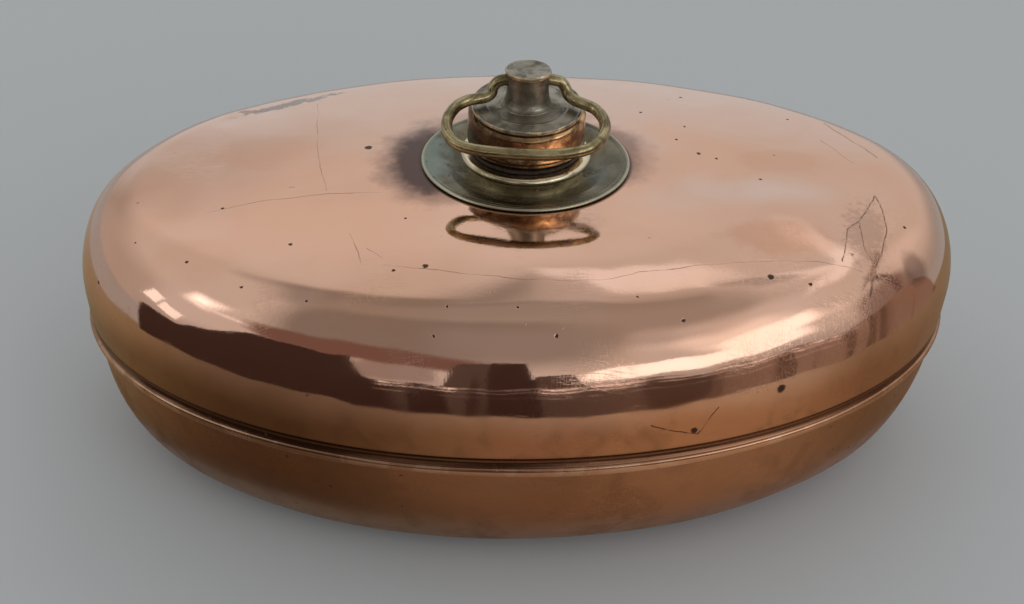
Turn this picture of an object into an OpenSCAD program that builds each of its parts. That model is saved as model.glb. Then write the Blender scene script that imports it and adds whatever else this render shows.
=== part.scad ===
/* [Body] */
// Length of the oval body, over its upper wall
body_l = 300; // [240:1:360]
// Width of the oval body, over its upper wall
body_w = 194; // [170:1:240]
// Height of the middle of the top above the floor
body_h = 96.8; // [90:0.1:120]
// Thickness of the copper sheet
sheet_t = 1; // [0.8:0.1:1.6]
// Rise of the top from the end of the shoulder to the middle
crown_h = 9; // [4:0.5:12]
// Width of the rounded shoulder, measured inwards from the wall
shoulder_w = 21.6; // [14:0.1:30]
// Height of the rounded shoulder
shoulder_h = 27.6; // [18:0.1:30]
// Squareness of the shoulder, where 2 is an ellipse
shoulder_e = 2.1; // [1.8:0.05:2.6]
// Width of the curve from the pan's wall to its flat base
pan_w = 32; // [20:1:40]
// Squareness of the pan's curve, where 2 is an ellipse
pan_e = 2.7; // [2:0.05:3.2]

/* [Seam] */
// Height of the lower edge of the upper shell, where it laps over the pan
seam_z = 46.4; // [36:0.1:50]
// Height of the rounded bead above that edge
bead_h = 2.4; // [2:0.1:3.2]
// How far the bead stands out from the wall
bead_out = 1; // [0.6:0.1:1.4]
// Height of the pressed groove above the bead
groove_h = 3.8; // [3:0.1:5]
// Depth of the pressed groove
groove_in = 0.9; // [0.4:0.1:1.2]
// How far the pan's wall reaches up behind the bead
lap_h = 1.4; // [1:0.1:1.5]
// Gap between the lapped sheets, which solder fills
lap_gap = 0.08; // [0.05:0.01:0.12]
// Width of the solder fillet inside the seam
solder_w = 1.8; // [1:0.1:3]

/* [Neck] */
// Radius of the brass flange
flange_r = 34.8; // [30:0.1:40]
// Width of the flange's flat rim, which lies on the top
flange_seat = 3.6; // [2:0.1:5]
// Thickness of the flange
flange_t = 0.8; // [0.6:0.1:1.4]
// Depth to which the flange dips around the neck
dish_depth = 3.6; // [2:0.1:5]
// Radius of the bore of the neck ring
bore_r = 16.2; // [13:0.1:18]
// Wall of the neck ring
neck_wall = 3.2; // [2:0.1:4]
// Length of the neck ring below its rolled rim
neck_len = 13; // [10:0.5:18]
// How far the rolled rim stands out from the neck ring's wall
rim_out = 2.4; // [1:0.1:3]
// Height of the rolled rim
rim_h = 2.7; // [2:0.1:3.5]
// Height of the underside of the rolled rim above the flange's edge
rim_lift = 0.4; // [0:0.1:2]

/* [Stopper] */
// Radial clearance of the plug in the neck ring
plug_clear = 0.3; // [0.2:0.05:0.5]
// Length of the plug below the drum
plug_len = 13.6; // [11:0.1:16]
// Wall of the plug's hollow skirt
skirt_wall = 3; // [2:0.1:4]
// Thickness of the plate across the plug's top
plug_plate = 3; // [2:0.1:4]
// Radius of the hub that carries the crown inside the drum
hub_r = 7.9; // [6:0.1:10]
// Thickness of the leather sealing washer
washer_t = 1.3; // [0.8:0.1:2.5]
// Width of the leather sealing washer
washer_w = 2.2; // [1.5:0.1:3]
// Free height left above and below the sealing washer
washer_gap = 0.1; // [0.05:0.05:0.2]
// Largest radius of the drum
drum_r = 19.5; // [19.2:0.1:23]
// Radius of the drum's foot
foot_r = 16.6; // [16.5:0.1:18]
// Height of the drum
drum_h = 14.5; // [12:0.1:18]
// Height of the rounded corner at the drum's foot
foot_h = 3.4; // [2:0.1:5]
// Height of the rounded corner at the drum's top
brow_h = 1.8; // [1.6:0.1:5]
// Thickness of the drum's sheet
drum_t = 1; // [0.7:0.1:1.4]
// Radius of the crown disc set in the drum's mouth
crown_r = 18; // [15:0.1:18.2]
// Thickness of the crown disc
crown_t = 2.2; // [1.6:0.1:3]
// Depth of the rings turned in the crown
ring_d = 0.35; // [0.1:0.05:0.6]
// Width of the land round the crown's edge
land_w = 2.4; // [1.5:0.1:3]
// Width of the ring turned inside that land
ring_w = 2.6; // [1.5:0.1:3]
// Width of the land between that ring and the recess round the post
bead_w = 1.8; // [1:0.1:2]

/* [Handle] */
// Radius of the post
post_r = 6.9; // [6:0.1:8]
// Height of the post above the crown
post_h = 12.2; // [12:0.1:16]
// Radius of the post's foot
post_foot_r = 7.2; // [6.8:0.1:9]
// Radius of the post's hammered head
head_r = 7.5; // [7:0.1:9]
// Height of the post's hammered head
head_h = 1.7; // [1:0.1:2.5]
// Height of the bail's hole above the crown
pivot_h = 8.3; // [8.2:0.1:8.5]
// Radius of the post's riveted shank
shank_r = 3; // [2:0.1:4]
// Radius of the backing washer under the plug's plate
burr_r = 7; // [6:0.1:9]
// Thickness of the backing washer
burr_t = 1.2; // [0.8:0.1:2]
// Radius of the bail's wire
wire_r = 1.85; // [1.4:0.05:2.2]
// Radial clearance of the wire in the post
pin_clear = 0.08; // [0.03:0.01:0.1]
// Radius of the bail's bends beside the post
ear_r = 3.2; // [2.8:0.1:4]
// Length of the bail's straight shanks
ear_l = 0.2; // [0.1:0.1:1]
// Radius of the bends where the bail opens out
neck_bend_r = 3.2; // [2.8:0.1:5]
// Angle through which the bail opens out
neck_bend_a = 78; // [70:1:85]
// Radius of the bail's round ends
loop_r = 14; // [12:0.1:16]
// Height of the bail's hole above the plane of its loop
leg_h = 5.5; // [5:0.1:5.5]
// Radius of the fold between the bail's legs and its loop
fold_r = 3; // [2.6:0.1:3.4]
// Angle of the bail's loop below the horizontal, as it lies in front
bail_a = 12.5; // [8:0.5:13]

/* [Hidden] */

// Facets round the oval sheets, round the turned pieces and round the wire
oval_n = 96;
round_n = 96;
wire_n = 24;
// Steps along each rounded corner, and along the bead, the groove and each small round
corner_n = 9;
bead_n = 5;
// A hair's breadth between pieces of one body that lie against each other
touch = 0.03;

half_l = body_l / 2;
half_w = body_w / 2;
wall_top = body_h - crown_h - shoulder_h;
bead_top = seam_z + bead_h;
groove_top = bead_top + groove_h;
hole_r = flange_r - flange_seat;

// Angle round the bead at which the upper shell's edge is cut off
lip_a = 45;
// Offset of the pan's wall from the upper wall, so that it clears the shell's cut edge
pan_o = sheet_t - bead_out * sin(lip_a) + lap_gap;

// Heights of the neck, from the copper upwards
seat_z = top_z(hole_r) + touch;
flange_z = seat_z + flange_t;
neck_r = bore_r + neck_wall;
rim_z = flange_z + rim_lift;
rim_top = rim_z + rim_h;
neck_bot = rim_z - neck_len;
washer_z = rim_top + washer_gap;
drum_z = washer_z + washer_t + washer_gap;

// Heights of the stopper
plug_r = bore_r - plug_clear;
plug_bot = drum_z - plug_len;
plate_z = drum_z - plug_plate;
crown_z = drum_z + drum_h - crown_t + ring_d;
crown_top = crown_z + crown_t;
burr_z = plate_z - touch - burr_t;
post_top = crown_top + post_h;
pivot_z = crown_top + pivot_h;
rivet_h = 1.2;
rivet_r = shank_r + 1.8;
shank_gap = 0.3;

// Where the bail's wire starts to bend beside the post
ear_x = head_r + wire_r / 2;

// Height of the copper top at a radius from the middle
function top_z(r) = body_h - crown_h * pow(r / half_w, 3);

// Height of the copper top at a distance in from the wall
function rise(s) = crown_h * (1 - pow(1 - s / half_w, 3));

// One ring of points: the oval wall moved in by o, drawn towards the neck's round hole by u, at height z
function ring(o, z, u = 0) = [
    for (i = [0:oval_n - 1])
        let (
            a = 360 * i / oval_n,
            n = [cos(a) / half_l, sin(a) / half_w] / norm([cos(a) / half_l, sin(a) / half_w]),
            p = [half_l * cos(a), half_w * sin(a)] - o * n,
            q = (1 - u) * p + u * hole_r * [cos(a), sin(a)]
        )
            [q[0], q[1], z]
];

// The sides between ring j and ring k
function band(j, k) = [
    for (i = [0:oval_n - 1])
        let (m = (i + 1) % oval_n)
            each [
                [j * oval_n + i, k * oval_n + m, j * oval_n + m],
                [j * oval_n + i, k * oval_n + i, k * oval_n + m]
            ]
];

// A closed tube round the oval, through rings given as [o, z, u]
module oval_loop(profile) {
    count = len(profile);
    polyhedron(
        points = [for (p = profile) each ring(p[0], p[1], p[2])],
        faces = [for (j = [0:count - 1]) each band(j, (j + 1) % count)]
    );
}

// A closed solid between two flat ovals, through rings given as [o, z, u]
module oval_vase(profile) {
    count = len(profile);
    last = (count - 1) * oval_n;
    polyhedron(
        points = [for (p = profile) each ring(p[0], p[1], p[2])],
        faces = [
            for (j = [0:count - 2]) each band(j, j + 1),
            [for (i = [0:oval_n - 1]) i],
            [for (i = [oval_n - 1:-1:0]) last + i]
        ]
    );
}

// Points up the bead and the groove of the upper shell, moved in by t
function bead_points(t) = [
    for (k = [0:bead_n])
        let (a = lip_a + (180 - lip_a) * k / bead_n)
            [t - bead_out * sin(a), seam_z + bead_h * (cos(lip_a) - cos(a)) / (cos(lip_a) + 1), 0]
];
function groove_points(t) = [
    for (k = [1:bead_n])
        [t + groove_in * sin(180 * k / bead_n), bead_top + groove_h * k / bead_n, 0]
];

// Points up the shoulder and over the top to the neck's hole, moved in by t
function shoulder_points(t) = [
    for (k = [0:corner_n])
        let (
            a = 90 * k / corner_n,
            c = 1 - pow(cos(a), 2 / shoulder_e),
            s = pow(sin(a), 2 / shoulder_e)
        )
            [t + (shoulder_w - t) * c, wall_top + (shoulder_h - t) * s + rise(shoulder_w * c), 0]
];
function top_points(t) = [
    for (k = [1:4])
        let (u = k / 4, s = shoulder_w + (half_w - shoulder_w - hole_r) * u)
            [shoulder_w, body_h - crown_h + rise(s) - t, u]
];

function reversed(v) = [for (i = [len(v) - 1:-1:0]) v[i]];

function shell_points(t) = concat(bead_points(t), groove_points(t), shoulder_points(t), top_points(t));

// Points down the pan's curve to its base, moved in by t
function pan_points(t) = [
    for (k = [0:corner_n + 1])
        let (
            a = 90 * k / (corner_n + 1),
            c = 1 - pow(cos(a), 2 / pan_e),
            s = 1 - pow(sin(a), 2 / pan_e)
        )
            [pan_o + t + (pan_w - pan_o - t) * c, t + (seam_z - t) * s, 0]
];

// Copper top, shoulder and upper wall, with the seam's bead and groove
module upper_shell() {
    color("rosybrown")
        oval_loop(concat(shell_points(0), reversed(shell_points(sheet_t))));
}

// Copper pan: the flat base, its curved side and the rim that goes up behind the bead
module lower_pan() {
    color("sienna")
        oval_vase(concat(
            reversed(pan_points(0)),
            [[pan_o, seam_z + lap_h, 0], [pan_o + sheet_t, seam_z + lap_h, 0]],
            pan_points(sheet_t)
        ));
}

// Solder that fills the seam from inside
module seam_solder() {
    behind = bead_points(sheet_t + touch);
    above = groove_points(sheet_t + touch);
    inner = pan_o + sheet_t + touch;
    color("silver")
        oval_loop([
            [inner, seam_z + touch, 0],
            [inner, seam_z + lap_h + touch, 0],
            [pan_o, seam_z + lap_h + touch, 0],
            behind[bead_n - 1],
            behind[bead_n],
            above[0],
            above[1],
            [sheet_t + groove_in + solder_w, bead_top, 0],
            [inner + solder_w, seam_z + lap_h / 2, 0]
        ]);
}

// Height of the flange's upper face at a radius, and the radii at which it is drawn
function dish_z(r) =
    let (f = max(0, min(1, (hole_r - flange_t - r) / (hole_r - flange_t - neck_r))))
        flange_z - dish_depth * (1 - cos(180 * f)) / 2;
dish_n = 8;
dish_rs = [for (k = [0:dish_n]) neck_r + touch + (hole_r - flange_t - neck_r - touch) * k / dish_n];

// Dished brass flange that lies on the copper top and carries the neck ring
module neck_flange() {
    edge = flange_t / 2;
    color("darkkhaki")
        rotate_extrude($fn = round_n)
            polygon(concat(
                [for (r = dish_rs) [r, dish_z(r)]],
                [for (a = [90:-30:-90]) [flange_r - edge + edge * cos(a), seat_z + edge + edge * sin(a)]],
                [for (r = reversed(dish_rs)) [r, dish_z(r) - flange_t]]
            ));
}

// Solder between the flange and the edge of the copper's hole
module flange_solder() {
    under = seat_z - sheet_t - 3 * touch;
    color("silver")
        rotate_extrude($fn = round_n)
            polygon([
                [hole_r - 2 * touch, seat_z - 2 * touch],
                [hole_r - 2 * touch, under],
                [hole_r + solder_w, under - 4 * touch],
                [hole_r - flange_t, under - solder_w],
                each [for (k = [dish_n - 2:dish_n]) [dish_rs[k], dish_z(dish_rs[k]) - flange_t - touch]]
            ]);
}

// Brass neck ring with its bore and its rolled rim
module neck_ring() {
    roll = rim_h / 2;
    color("gold")
        rotate_extrude($fn = round_n)
            polygon(concat(
                [[bore_r, neck_bot], [neck_r, neck_bot], [neck_r, rim_z]],
                [for (a = [-75:15:90]) [neck_r + rim_out - roll + roll * cos(a), rim_z + roll + roll * sin(a)]],
                [[bore_r + roll / 2, rim_top], [bore_r, rim_top - roll / 2]]
            ));
}

// Solder round the neck ring, under the flange
module neck_solder() {
    z = dish_z(neck_r) - flange_t - 2 * touch;
    color("silver")
        rotate_extrude($fn = round_n)
            polygon([
                [neck_r + touch, z],
                [neck_r + touch, z - solder_w],
                [neck_r + solder_w / 2, z - solder_w / 2],
                [neck_r + solder_w, z]
            ]);
}

// Leather washer that the drum presses on the rolled rim
module sealing_washer() {
    color("saddlebrown")
        translate([0, 0, washer_z])
            difference() {
                cylinder(h = washer_t, r = plug_r + plug_clear + washer_w, $fn = round_n);
                translate([0, 0, -1])
                    cylinder(h = washer_t + 2, r = plug_r + plug_clear, $fn = round_n);
            }
}

// Brass plug: the hollow skirt that goes in the neck, its plate and the hub up to the crown
module stopper_plug() {
    color("goldenrod")
        difference() {
            union() {
                translate([0, 0, plug_bot])
                    cylinder(h = drum_z - plug_bot, r = plug_r, $fn = round_n);
                translate([0, 0, plate_z + plug_plate / 2])
                    cylinder(h = crown_z - plate_z - plug_plate / 2, r = hub_r, $fn = round_n);
            }
            translate([0, 0, plug_bot - 1])
                cylinder(h = plate_z - plug_bot + 1, r = plug_r - skirt_wall, $fn = round_n);
            translate([0, 0, plate_z - 1])
                cylinder(h = crown_z - plate_z + 2, r = shank_r + touch, $fn = round_n);
        }
}

// Points up the drum's side, moved in by t
function drum_points(t) = concat(
    [
        for (k = [0:bead_n])
            let (a = 90 * k / bead_n)
                [foot_r + (drum_r - foot_r) * sin(a) - t, drum_z + t + (foot_h - t) * (1 - cos(a))]
    ],
    [
        for (k = [0:bead_n])
            let (a = 90 * k / bead_n)
                [
                    crown_r + touch + (drum_r - crown_r - touch - t) * cos(a),
                    drum_z + drum_h - brow_h + (brow_h - t) * sin(a)
                ]
    ]
);

// Copper drum of the stopper, closed below by its foot and open at the crown
module stopper_drum() {
    color("peru")
        rotate_extrude($fn = round_n)
            polygon(concat(
                [[hub_r + touch, drum_z + touch]],
                [for (p = drum_points(0)) [p[0], max(p[1], drum_z + touch)]],
                reversed(drum_points(drum_t)),
                [[hub_r + touch, drum_z + drum_t]]
            ));
}

// Turned crown disc, with its rings
module stopper_crown() {
    ring_out = crown_r - land_w;
    ring_in = ring_out - ring_w;
    recess = ring_in - bead_w;
    low = crown_top - ring_d;
    color("dimgray")
        rotate_extrude($fn = round_n)
            polygon([
                [shank_r + touch, crown_z + touch],
                [crown_r, crown_z + touch],
                [crown_r, low],
                [crown_r - ring_d, crown_top],
                [ring_out, crown_top],
                [ring_out - ring_d, low],
                [ring_in + ring_d, low],
                [ring_in, crown_top],
                [recess, crown_top],
                [recess - ring_d, low],
                [shank_r + touch, low]
            ]);
}

// Handle post with its hammered head and cross hole, and the shank riveted under the plug
module handle_post() {
    foot_z = crown_top - ring_d + touch;
    waist = post_foot_r - post_r;
    color("gray")
        difference() {
            rotate_extrude($fn = round_n)
                polygon([
                    [0, burr_z - touch - rivet_h],
                    [rivet_r - rivet_h / 2, burr_z - touch - rivet_h],
                    [rivet_r, burr_z - touch - rivet_h / 2],
                    [rivet_r, burr_z - touch],
                    [shank_r, burr_z - touch],
                    [shank_r, foot_z],
                    [post_foot_r, foot_z],
                    [post_foot_r, foot_z + waist],
                    [post_r, foot_z + 3 * waist],
                    [post_r, post_top - head_h - waist],
                    [head_r, post_top - head_h],
                    [head_r, post_top - head_h / 3],
                    [head_r - head_h / 3, post_top],
                    [0, post_top]
                ]);
            translate([0, 0, pivot_z])
                rotate([0, 90, 0])
                    cylinder(h = 3 * head_r, r = wire_r + pin_clear, center = true, $fn = round_n);
        }
}

// Backing washer that spreads the rivet's load under the plug's plate
module backing_washer() {
    color("goldenrod")
        translate([0, 0, burr_z])
            difference() {
                cylinder(h = burr_t, r = burr_r, $fn = round_n);
                translate([0, 0, -1])
                    cylinder(h = burr_t + 2, r = shank_r + shank_gap, $fn = round_n);
            }
}

// Points along an arc of the bail's centre line round [x, y], from angle a through angle d, as [x, y, heading]
function arc_points(x, y, r, a, d, count) = [
    for (k = [1:count])
        let (t = a + d * k / count)
            [x + r * cos(t), y + r * sin(t), t + 90 * sign(d)]
];

// Centre line of the bail's right half, before it is folded: x to the side, y from the post's hole to the front bar
side_x = ear_x + ear_r;
neck_y = ear_r + ear_l;
open_x = side_x + neck_bend_r * (1 - cos(neck_bend_a));
open_y = neck_y + neck_bend_r * sin(neck_bend_a);
half_path = concat(
    [[ear_x, 0, 0]],
    arc_points(ear_x, ear_r, ear_r, -90, 90, 6),
    [[side_x, neck_y, 90]],
    arc_points(side_x + neck_bend_r, neck_y, neck_bend_r, 180, -neck_bend_a, 9),
    arc_points(
        open_x - loop_r * cos(neck_bend_a), open_y + loop_r * sin(neck_bend_a),
        loop_r, -neck_bend_a, 90 + neck_bend_a, 16
    )
);
bail_path = concat(half_path, [for (p = reversed(half_path)) [-p[0], p[1], 360 - p[2]]]);

// The fold from the legs to the loop: its angle, where it starts and how long it is
fold_a = 90 - bail_a;
fold_start = leg_h - fold_r * tan(fold_a / 2);
fold_len = fold_r * fold_a * PI / 180;
function fold_turn(w) = fold_a * max(0, min(1, (w - fold_start) / fold_len));

// Place [y, z] of the folded wire at a length w from the post's hole
function fold_place(w) =
    let (t = fold_turn(w), leg = min(w, fold_start), bar = max(0, w - fold_start - fold_len))
        [-fold_r * (1 - cos(t)) - bar * sin(t), -leg - fold_r * sin(t) - bar * cos(t)];

// Brass wire bail, one closed loop through the post, with its legs folded down and its loop towards the front
module bail_handle() {
    count = len(bail_path);
    color("olive")
        translate([0, 0, pivot_z])
            polyhedron(
                points = [
                    for (p = bail_path, i = [0:wire_n - 1])
                        let (
                            a = 360 * i / wire_n,
                            t = fold_turn(p[1]),
                            c = fold_place(p[1]),
                            u = wire_r * cos(a) * cos(p[2]),
                            v = wire_r * sin(a)
                        )
                            [
                                p[0] - wire_r * cos(a) * sin(p[2]),
                                c[0] - u * sin(t) - v * cos(t),
                                c[1] - u * cos(t) + v * sin(t)
                            ]
                ],
                faces = [
                    for (j = [0:count - 1], i = [0:wire_n - 1])
                        let (k = (j + 1) % count, m = (i + 1) % wire_n)
                            each [
                                [j * wire_n + i, j * wire_n + m, k * wire_n + m],
                                [j * wire_n + i, k * wire_n + m, k * wire_n + i]
                            ]
                ]
            );
}

upper_shell();
lower_pan();
seam_solder();
neck_flange();
flange_solder();
neck_ring();
neck_solder();
sealing_washer();
backing_washer();
stopper_plug();
stopper_drum();
stopper_crown();
handle_post();
bail_handle();
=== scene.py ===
from functools import reduce
import bpy
import numpy as np
from mathutils import Matrix


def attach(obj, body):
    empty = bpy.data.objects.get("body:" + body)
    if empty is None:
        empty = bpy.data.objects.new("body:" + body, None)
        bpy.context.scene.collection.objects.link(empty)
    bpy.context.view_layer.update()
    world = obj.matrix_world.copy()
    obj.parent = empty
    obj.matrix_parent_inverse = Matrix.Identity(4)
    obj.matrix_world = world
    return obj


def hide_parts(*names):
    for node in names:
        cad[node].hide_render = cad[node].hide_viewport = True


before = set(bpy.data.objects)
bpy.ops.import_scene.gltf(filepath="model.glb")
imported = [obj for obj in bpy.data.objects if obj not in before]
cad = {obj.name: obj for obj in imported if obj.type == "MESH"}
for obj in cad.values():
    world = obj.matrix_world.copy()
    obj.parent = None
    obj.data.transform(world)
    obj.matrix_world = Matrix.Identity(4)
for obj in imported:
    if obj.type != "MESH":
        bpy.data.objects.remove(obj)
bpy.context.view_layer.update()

# Sizes in millimetres, the same as in the part's source
half_l, half_w = 150.0, 97.0
body_h, crown_h, sheet_t = 96.8, 9.0, 1.0
shoulder_w, shoulder_h, shoulder_e = 21.6, 27.6, 2.1
pan_w, pan_e = 32.0, 2.7
seam_z, bead_h, bead_out, lip_a = 46.4, 2.4, 0.95, np.radians(45)
groove_h, groove_in = 3.8, 0.9
lap_h, lap_gap = 1.4, 0.08
flange_r, flange_seat, flange_t, dish_depth = 34.8, 3.6, 0.8, 3.6
bore_r, neck_wall, neck_len = 16.2, 3.2, 13.0
rim_out, rim_h, rim_lift = 2.4, 2.7, 0.4
plug_r, plug_len, skirt_wall, plug_plate, hub_r = 15.9, 13.6, 3.0, 3.0, 7.9
washer_t, washer_w, washer_gap = 1.3, 2.2, 0.1
drum_r, foot_r, drum_h, foot_h, brow_h, drum_t = 19.5, 16.6, 14.5, 3.4, 1.8, 1.0
crown_r, crown_t, ring_d = 18.0, 2.2, 0.35
post_r, head_r, head_h, post_h = 6.9, 7.5, 1.7, 12.2
shank_r, burr_t, wire_r, pin_clear, pivot_h = 3.0, 1.2, 1.85, 0.08, 8.3
touch = 0.03
lean = 0.085
thread_depth, thread_pitch = 0.85, 2.5

wall_top = body_h - crown_h - shoulder_h
bead_top = seam_z + bead_h
hole_r = flange_r - flange_seat
pan_o = sheet_t - np.sin(lip_a) + lap_gap
seat_z = body_h - crown_h * (hole_r / half_w) ** 3 + touch
flange_z = seat_z + flange_t
neck_r = bore_r + neck_wall
rim_z = flange_z + rim_lift
rim_top = rim_z + rim_h
neck_bot = rim_z - neck_len
washer_z = rim_top + washer_gap
drum_z = washer_z + washer_t + washer_gap
plug_bot = drum_z - plug_len
plate_z = drum_z - plug_plate
crown_z = drum_z + drum_h - crown_t + ring_d
crown_top = crown_z + crown_t
burr_z = plate_z - touch - burr_t
post_top = crown_top + post_h
pivot_z = crown_top + pivot_h

# Number of points round the oval, the wide turned pieces, the other turned pieces, the post and the washer
oval_cols, wide_cols, turned_cols, post_cols, washer_cols = 400, 256, 224, 180, 160


# Surfaces

def unit(vectors):
    """Each vector divided by its own length."""
    return vectors / np.linalg.norm(vectors, axis=-1, keepdims=True)


def ease(x):
    """Smooth step: 3x^2 - 2x^3 of x held between 0 and 1."""
    x = np.clip(x, 0, 1)
    return x * x * (3 - 2 * x)


def radius_of(points):
    """Distance of each point from the Z axis."""
    return np.hypot(points[..., 0], points[..., 1])


def above(points, low, span):
    """Smooth step of each point's height, from 0 at low to 1 a span higher."""
    return ease((points[..., 2] - low) / span)


def beyond(points, near, span):
    """Smooth step of each point's distance from the Z axis, from 0 at near to 1 a span further out."""
    return ease((radius_of(points) - near) / span)


def grid_quads(rows, cols, closed):
    """Quads between neighbouring points of a grid whose columns wrap round, and whose rows wrap too
    where closed."""
    i = np.arange(rows if closed else rows - 1)[:, None]
    j = np.arange(cols)[None, :]
    up, across = (i + 1) % rows, (j + 1) % cols
    return np.stack([i * cols + j, i * cols + across, up * cols + across, up * cols + j], -1).reshape(-1, 4)


def outward_of(p, row):
    """Normal at each point of a grid with wrapped rows and columns: the cross product of its central differences,
    turned to point away from the Z axis at that row."""
    along = np.roll(p, -1, 0) - np.roll(p, 1, 0)
    around = np.roll(p, -1, 1) - np.roll(p, 1, 1)
    normals = unit(np.cross(around, along) + 1e-12)
    return normals * np.sign((normals[row, 0, :2] * p[row, 0, :2]).sum())


def in_scene(made):
    """The object, added to the scene."""
    bpy.context.scene.collection.objects.link(made)
    return made


def piece(name, points, body, node, material, closed=True, crease=35, wire=None):
    """A smooth closed mesh from a grid of points in millimetres that stands for a CAD node.
    An open grid is closed by a fan to the middle of its first ring and one to the middle of its last."""
    rows, cols = points.shape[:2]
    vertices = points.reshape(-1, 3)
    quads = grid_quads(rows, cols, closed)
    corners = [quads[:, :3], quads[:, [0, 2, 3]]]
    faces = quads.tolist()
    if not closed:
        ring, nxt = np.arange(cols), (np.arange(cols) + 1) % cols
        last = (rows - 1) * cols
        low = np.stack([nxt, ring, np.full(cols, rows * cols)], -1)
        high = np.stack([last + ring, last + nxt, np.full(cols, rows * cols + 1)], -1)
        vertices = np.concatenate([vertices, points[0].mean(0)[None], points[-1].mean(0)[None]])
        corners += [low, high]
        faces += low.tolist() + high.tolist()
    t = vertices[np.concatenate(corners)]
    if (t[:, 0] * np.cross(t[:, 1], t[:, 2])).sum() < 0:
        faces = [face[::-1] for face in faces]
    mesh = bpy.data.meshes.new(name)
    mesh.from_pydata((vertices * 0.001).tolist(), [], faces)
    if wire is not None:
        lay = mesh.attributes.new("wire", "FLOAT_VECTOR", "POINT")
        lay.data.foreach_set("vector", wire.ravel().astype(np.float32))
    mesh.polygons.foreach_set("use_smooth", np.ones(len(mesh.polygons), bool))
    mesh.set_sharp_from_angle(angle=np.radians(crease))
    mesh.materials.append(material)
    made = in_scene(bpy.data.objects.new(name, mesh))
    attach(made, body)
    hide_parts(node)
    return made


def lengths_along(line):
    """Distance along a line of points up to each of them: the running sum of the steps' lengths."""
    return np.concatenate([[0], np.cumsum(np.linalg.norm(np.diff(line, axis=0), axis=1))])


def at_lengths(line, lengths, places):
    """The points at those places along a line of points, each between its two neighbours."""
    return np.stack([np.interp(places, lengths, line[:, k]) for k in range(line.shape[1])], -1)


def rounded(corners, radius, steps=5):
    """Closed outline through the corners, each cut by the curve (1-t)^2 A + 2t(1-t) P + t^2 B,
    where A and B lie at that corner's radius before and after the corner P."""
    p = np.asarray(corners, float)
    radius = np.broadcast_to(np.asarray(radius, float), len(p))[:, None]
    most = 0.45
    before, after = np.roll(p, 1, 0) - p, np.roll(p, -1, 0) - p
    a, b = (p + way * np.minimum(radius / np.linalg.norm(way, axis=-1, keepdims=True), most)
            for way in (before, after))
    t = np.linspace(0, 1, steps)[None, :, None]
    return ((1 - t) ** 2 * a[:, None] + 2 * t * (1 - t) * p[:, None] + t * t * b[:, None]).reshape(-1, 2)


def refined(outline, step):
    """A closed outline with points added so that none are further apart than step along it."""
    loop = np.concatenate([outline, outline[:1]])
    s = lengths_along(loop)
    keep = np.concatenate([[True], np.diff(s) > 1e-6])
    loop, s = loop[keep], s[keep]
    count, least = int(np.ceil(s[-1] / step)) + 1, step * 0.05
    places = np.unique(np.round(np.concatenate([s, np.linspace(0, s[-1], count)]), 5))
    places = places[np.concatenate([[True], np.diff(places) > least])]
    return at_lengths(loop, s, places[places < s[-1] - least])


def turned(outline, cols):
    """Surface of revolution: each outline point (r, z) carried round the Z axis."""
    a = np.linspace(0, 2 * np.pi, cols, endpoint=False)[None, :]
    r, z = outline[:, :1], outline[:, 1:]
    return np.stack([r * np.cos(a), r * np.sin(a), z + 0 * a], -1)


def pushed_out(points, distance):
    """Each point moved away from the Z axis by that distance."""
    flat = points.copy()
    flat[..., 2] = 0
    return points + unit(flat + 1e-9) * distance[..., None]


def waves(points, size, depth, seed):
    """Slow unevenness of hand-worked metal: the mean of eight sines along random directions,
    with wavelengths of one to two and a half times size, times depth."""
    rng = np.random.default_rng(seed)
    way = unit(rng.normal(size=(8, 3))) * (2 * np.pi / (size * rng.uniform(1, 2.5, (8, 1))))
    return depth * np.sin(points @ way.T + rng.uniform(0, 2 * np.pi, 8)).mean(-1)


def dents(points, list_of_dents):
    """Sum of round hollows, each depth times exp(-(distance / radius)^2) from its middle."""
    spots = np.asarray(list_of_dents, float)
    away = np.linalg.norm(points[..., None, :] - spots[:, :3], axis=-1) / spots[:, 3]
    return (spots[:, 4] * np.exp(-away ** 2)).sum(-1)


# The oval body

oval_angles = np.linspace(0, 2 * np.pi, oval_cols, endpoint=False)


def oval_rings(rows):
    """The body as a function of profile row (o, z, u) and angle a: the ellipse point, moved in along its normal by o,
    drawn by the share u towards the neck's round hole, at the height z."""
    a = oval_angles[None, :, None]
    o, z, u = (rows[:, None, k:k + 1] for k in range(3))
    way = np.concatenate([np.cos(a), np.sin(a)], -1)
    wall = way * [half_l, half_w] - o * unit(way / [half_l, half_w])
    flat = (1 - u) * wall + u * hole_r * way
    return np.concatenate([flat, np.broadcast_to(z, flat.shape[:2] + (1,))], -1)


def rise(s):
    """Height that the top gains at a distance s in from the wall: crown height times 1 - (1 - s / half width)^3."""
    return crown_h * (1 - (1 - s / half_w) ** 3)


def rows_of(o, z, u=0.0):
    """Profile rows (o, z, u) from arrays or numbers."""
    return np.stack(np.broadcast_arrays(o, z, u), -1).astype(float)


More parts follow.
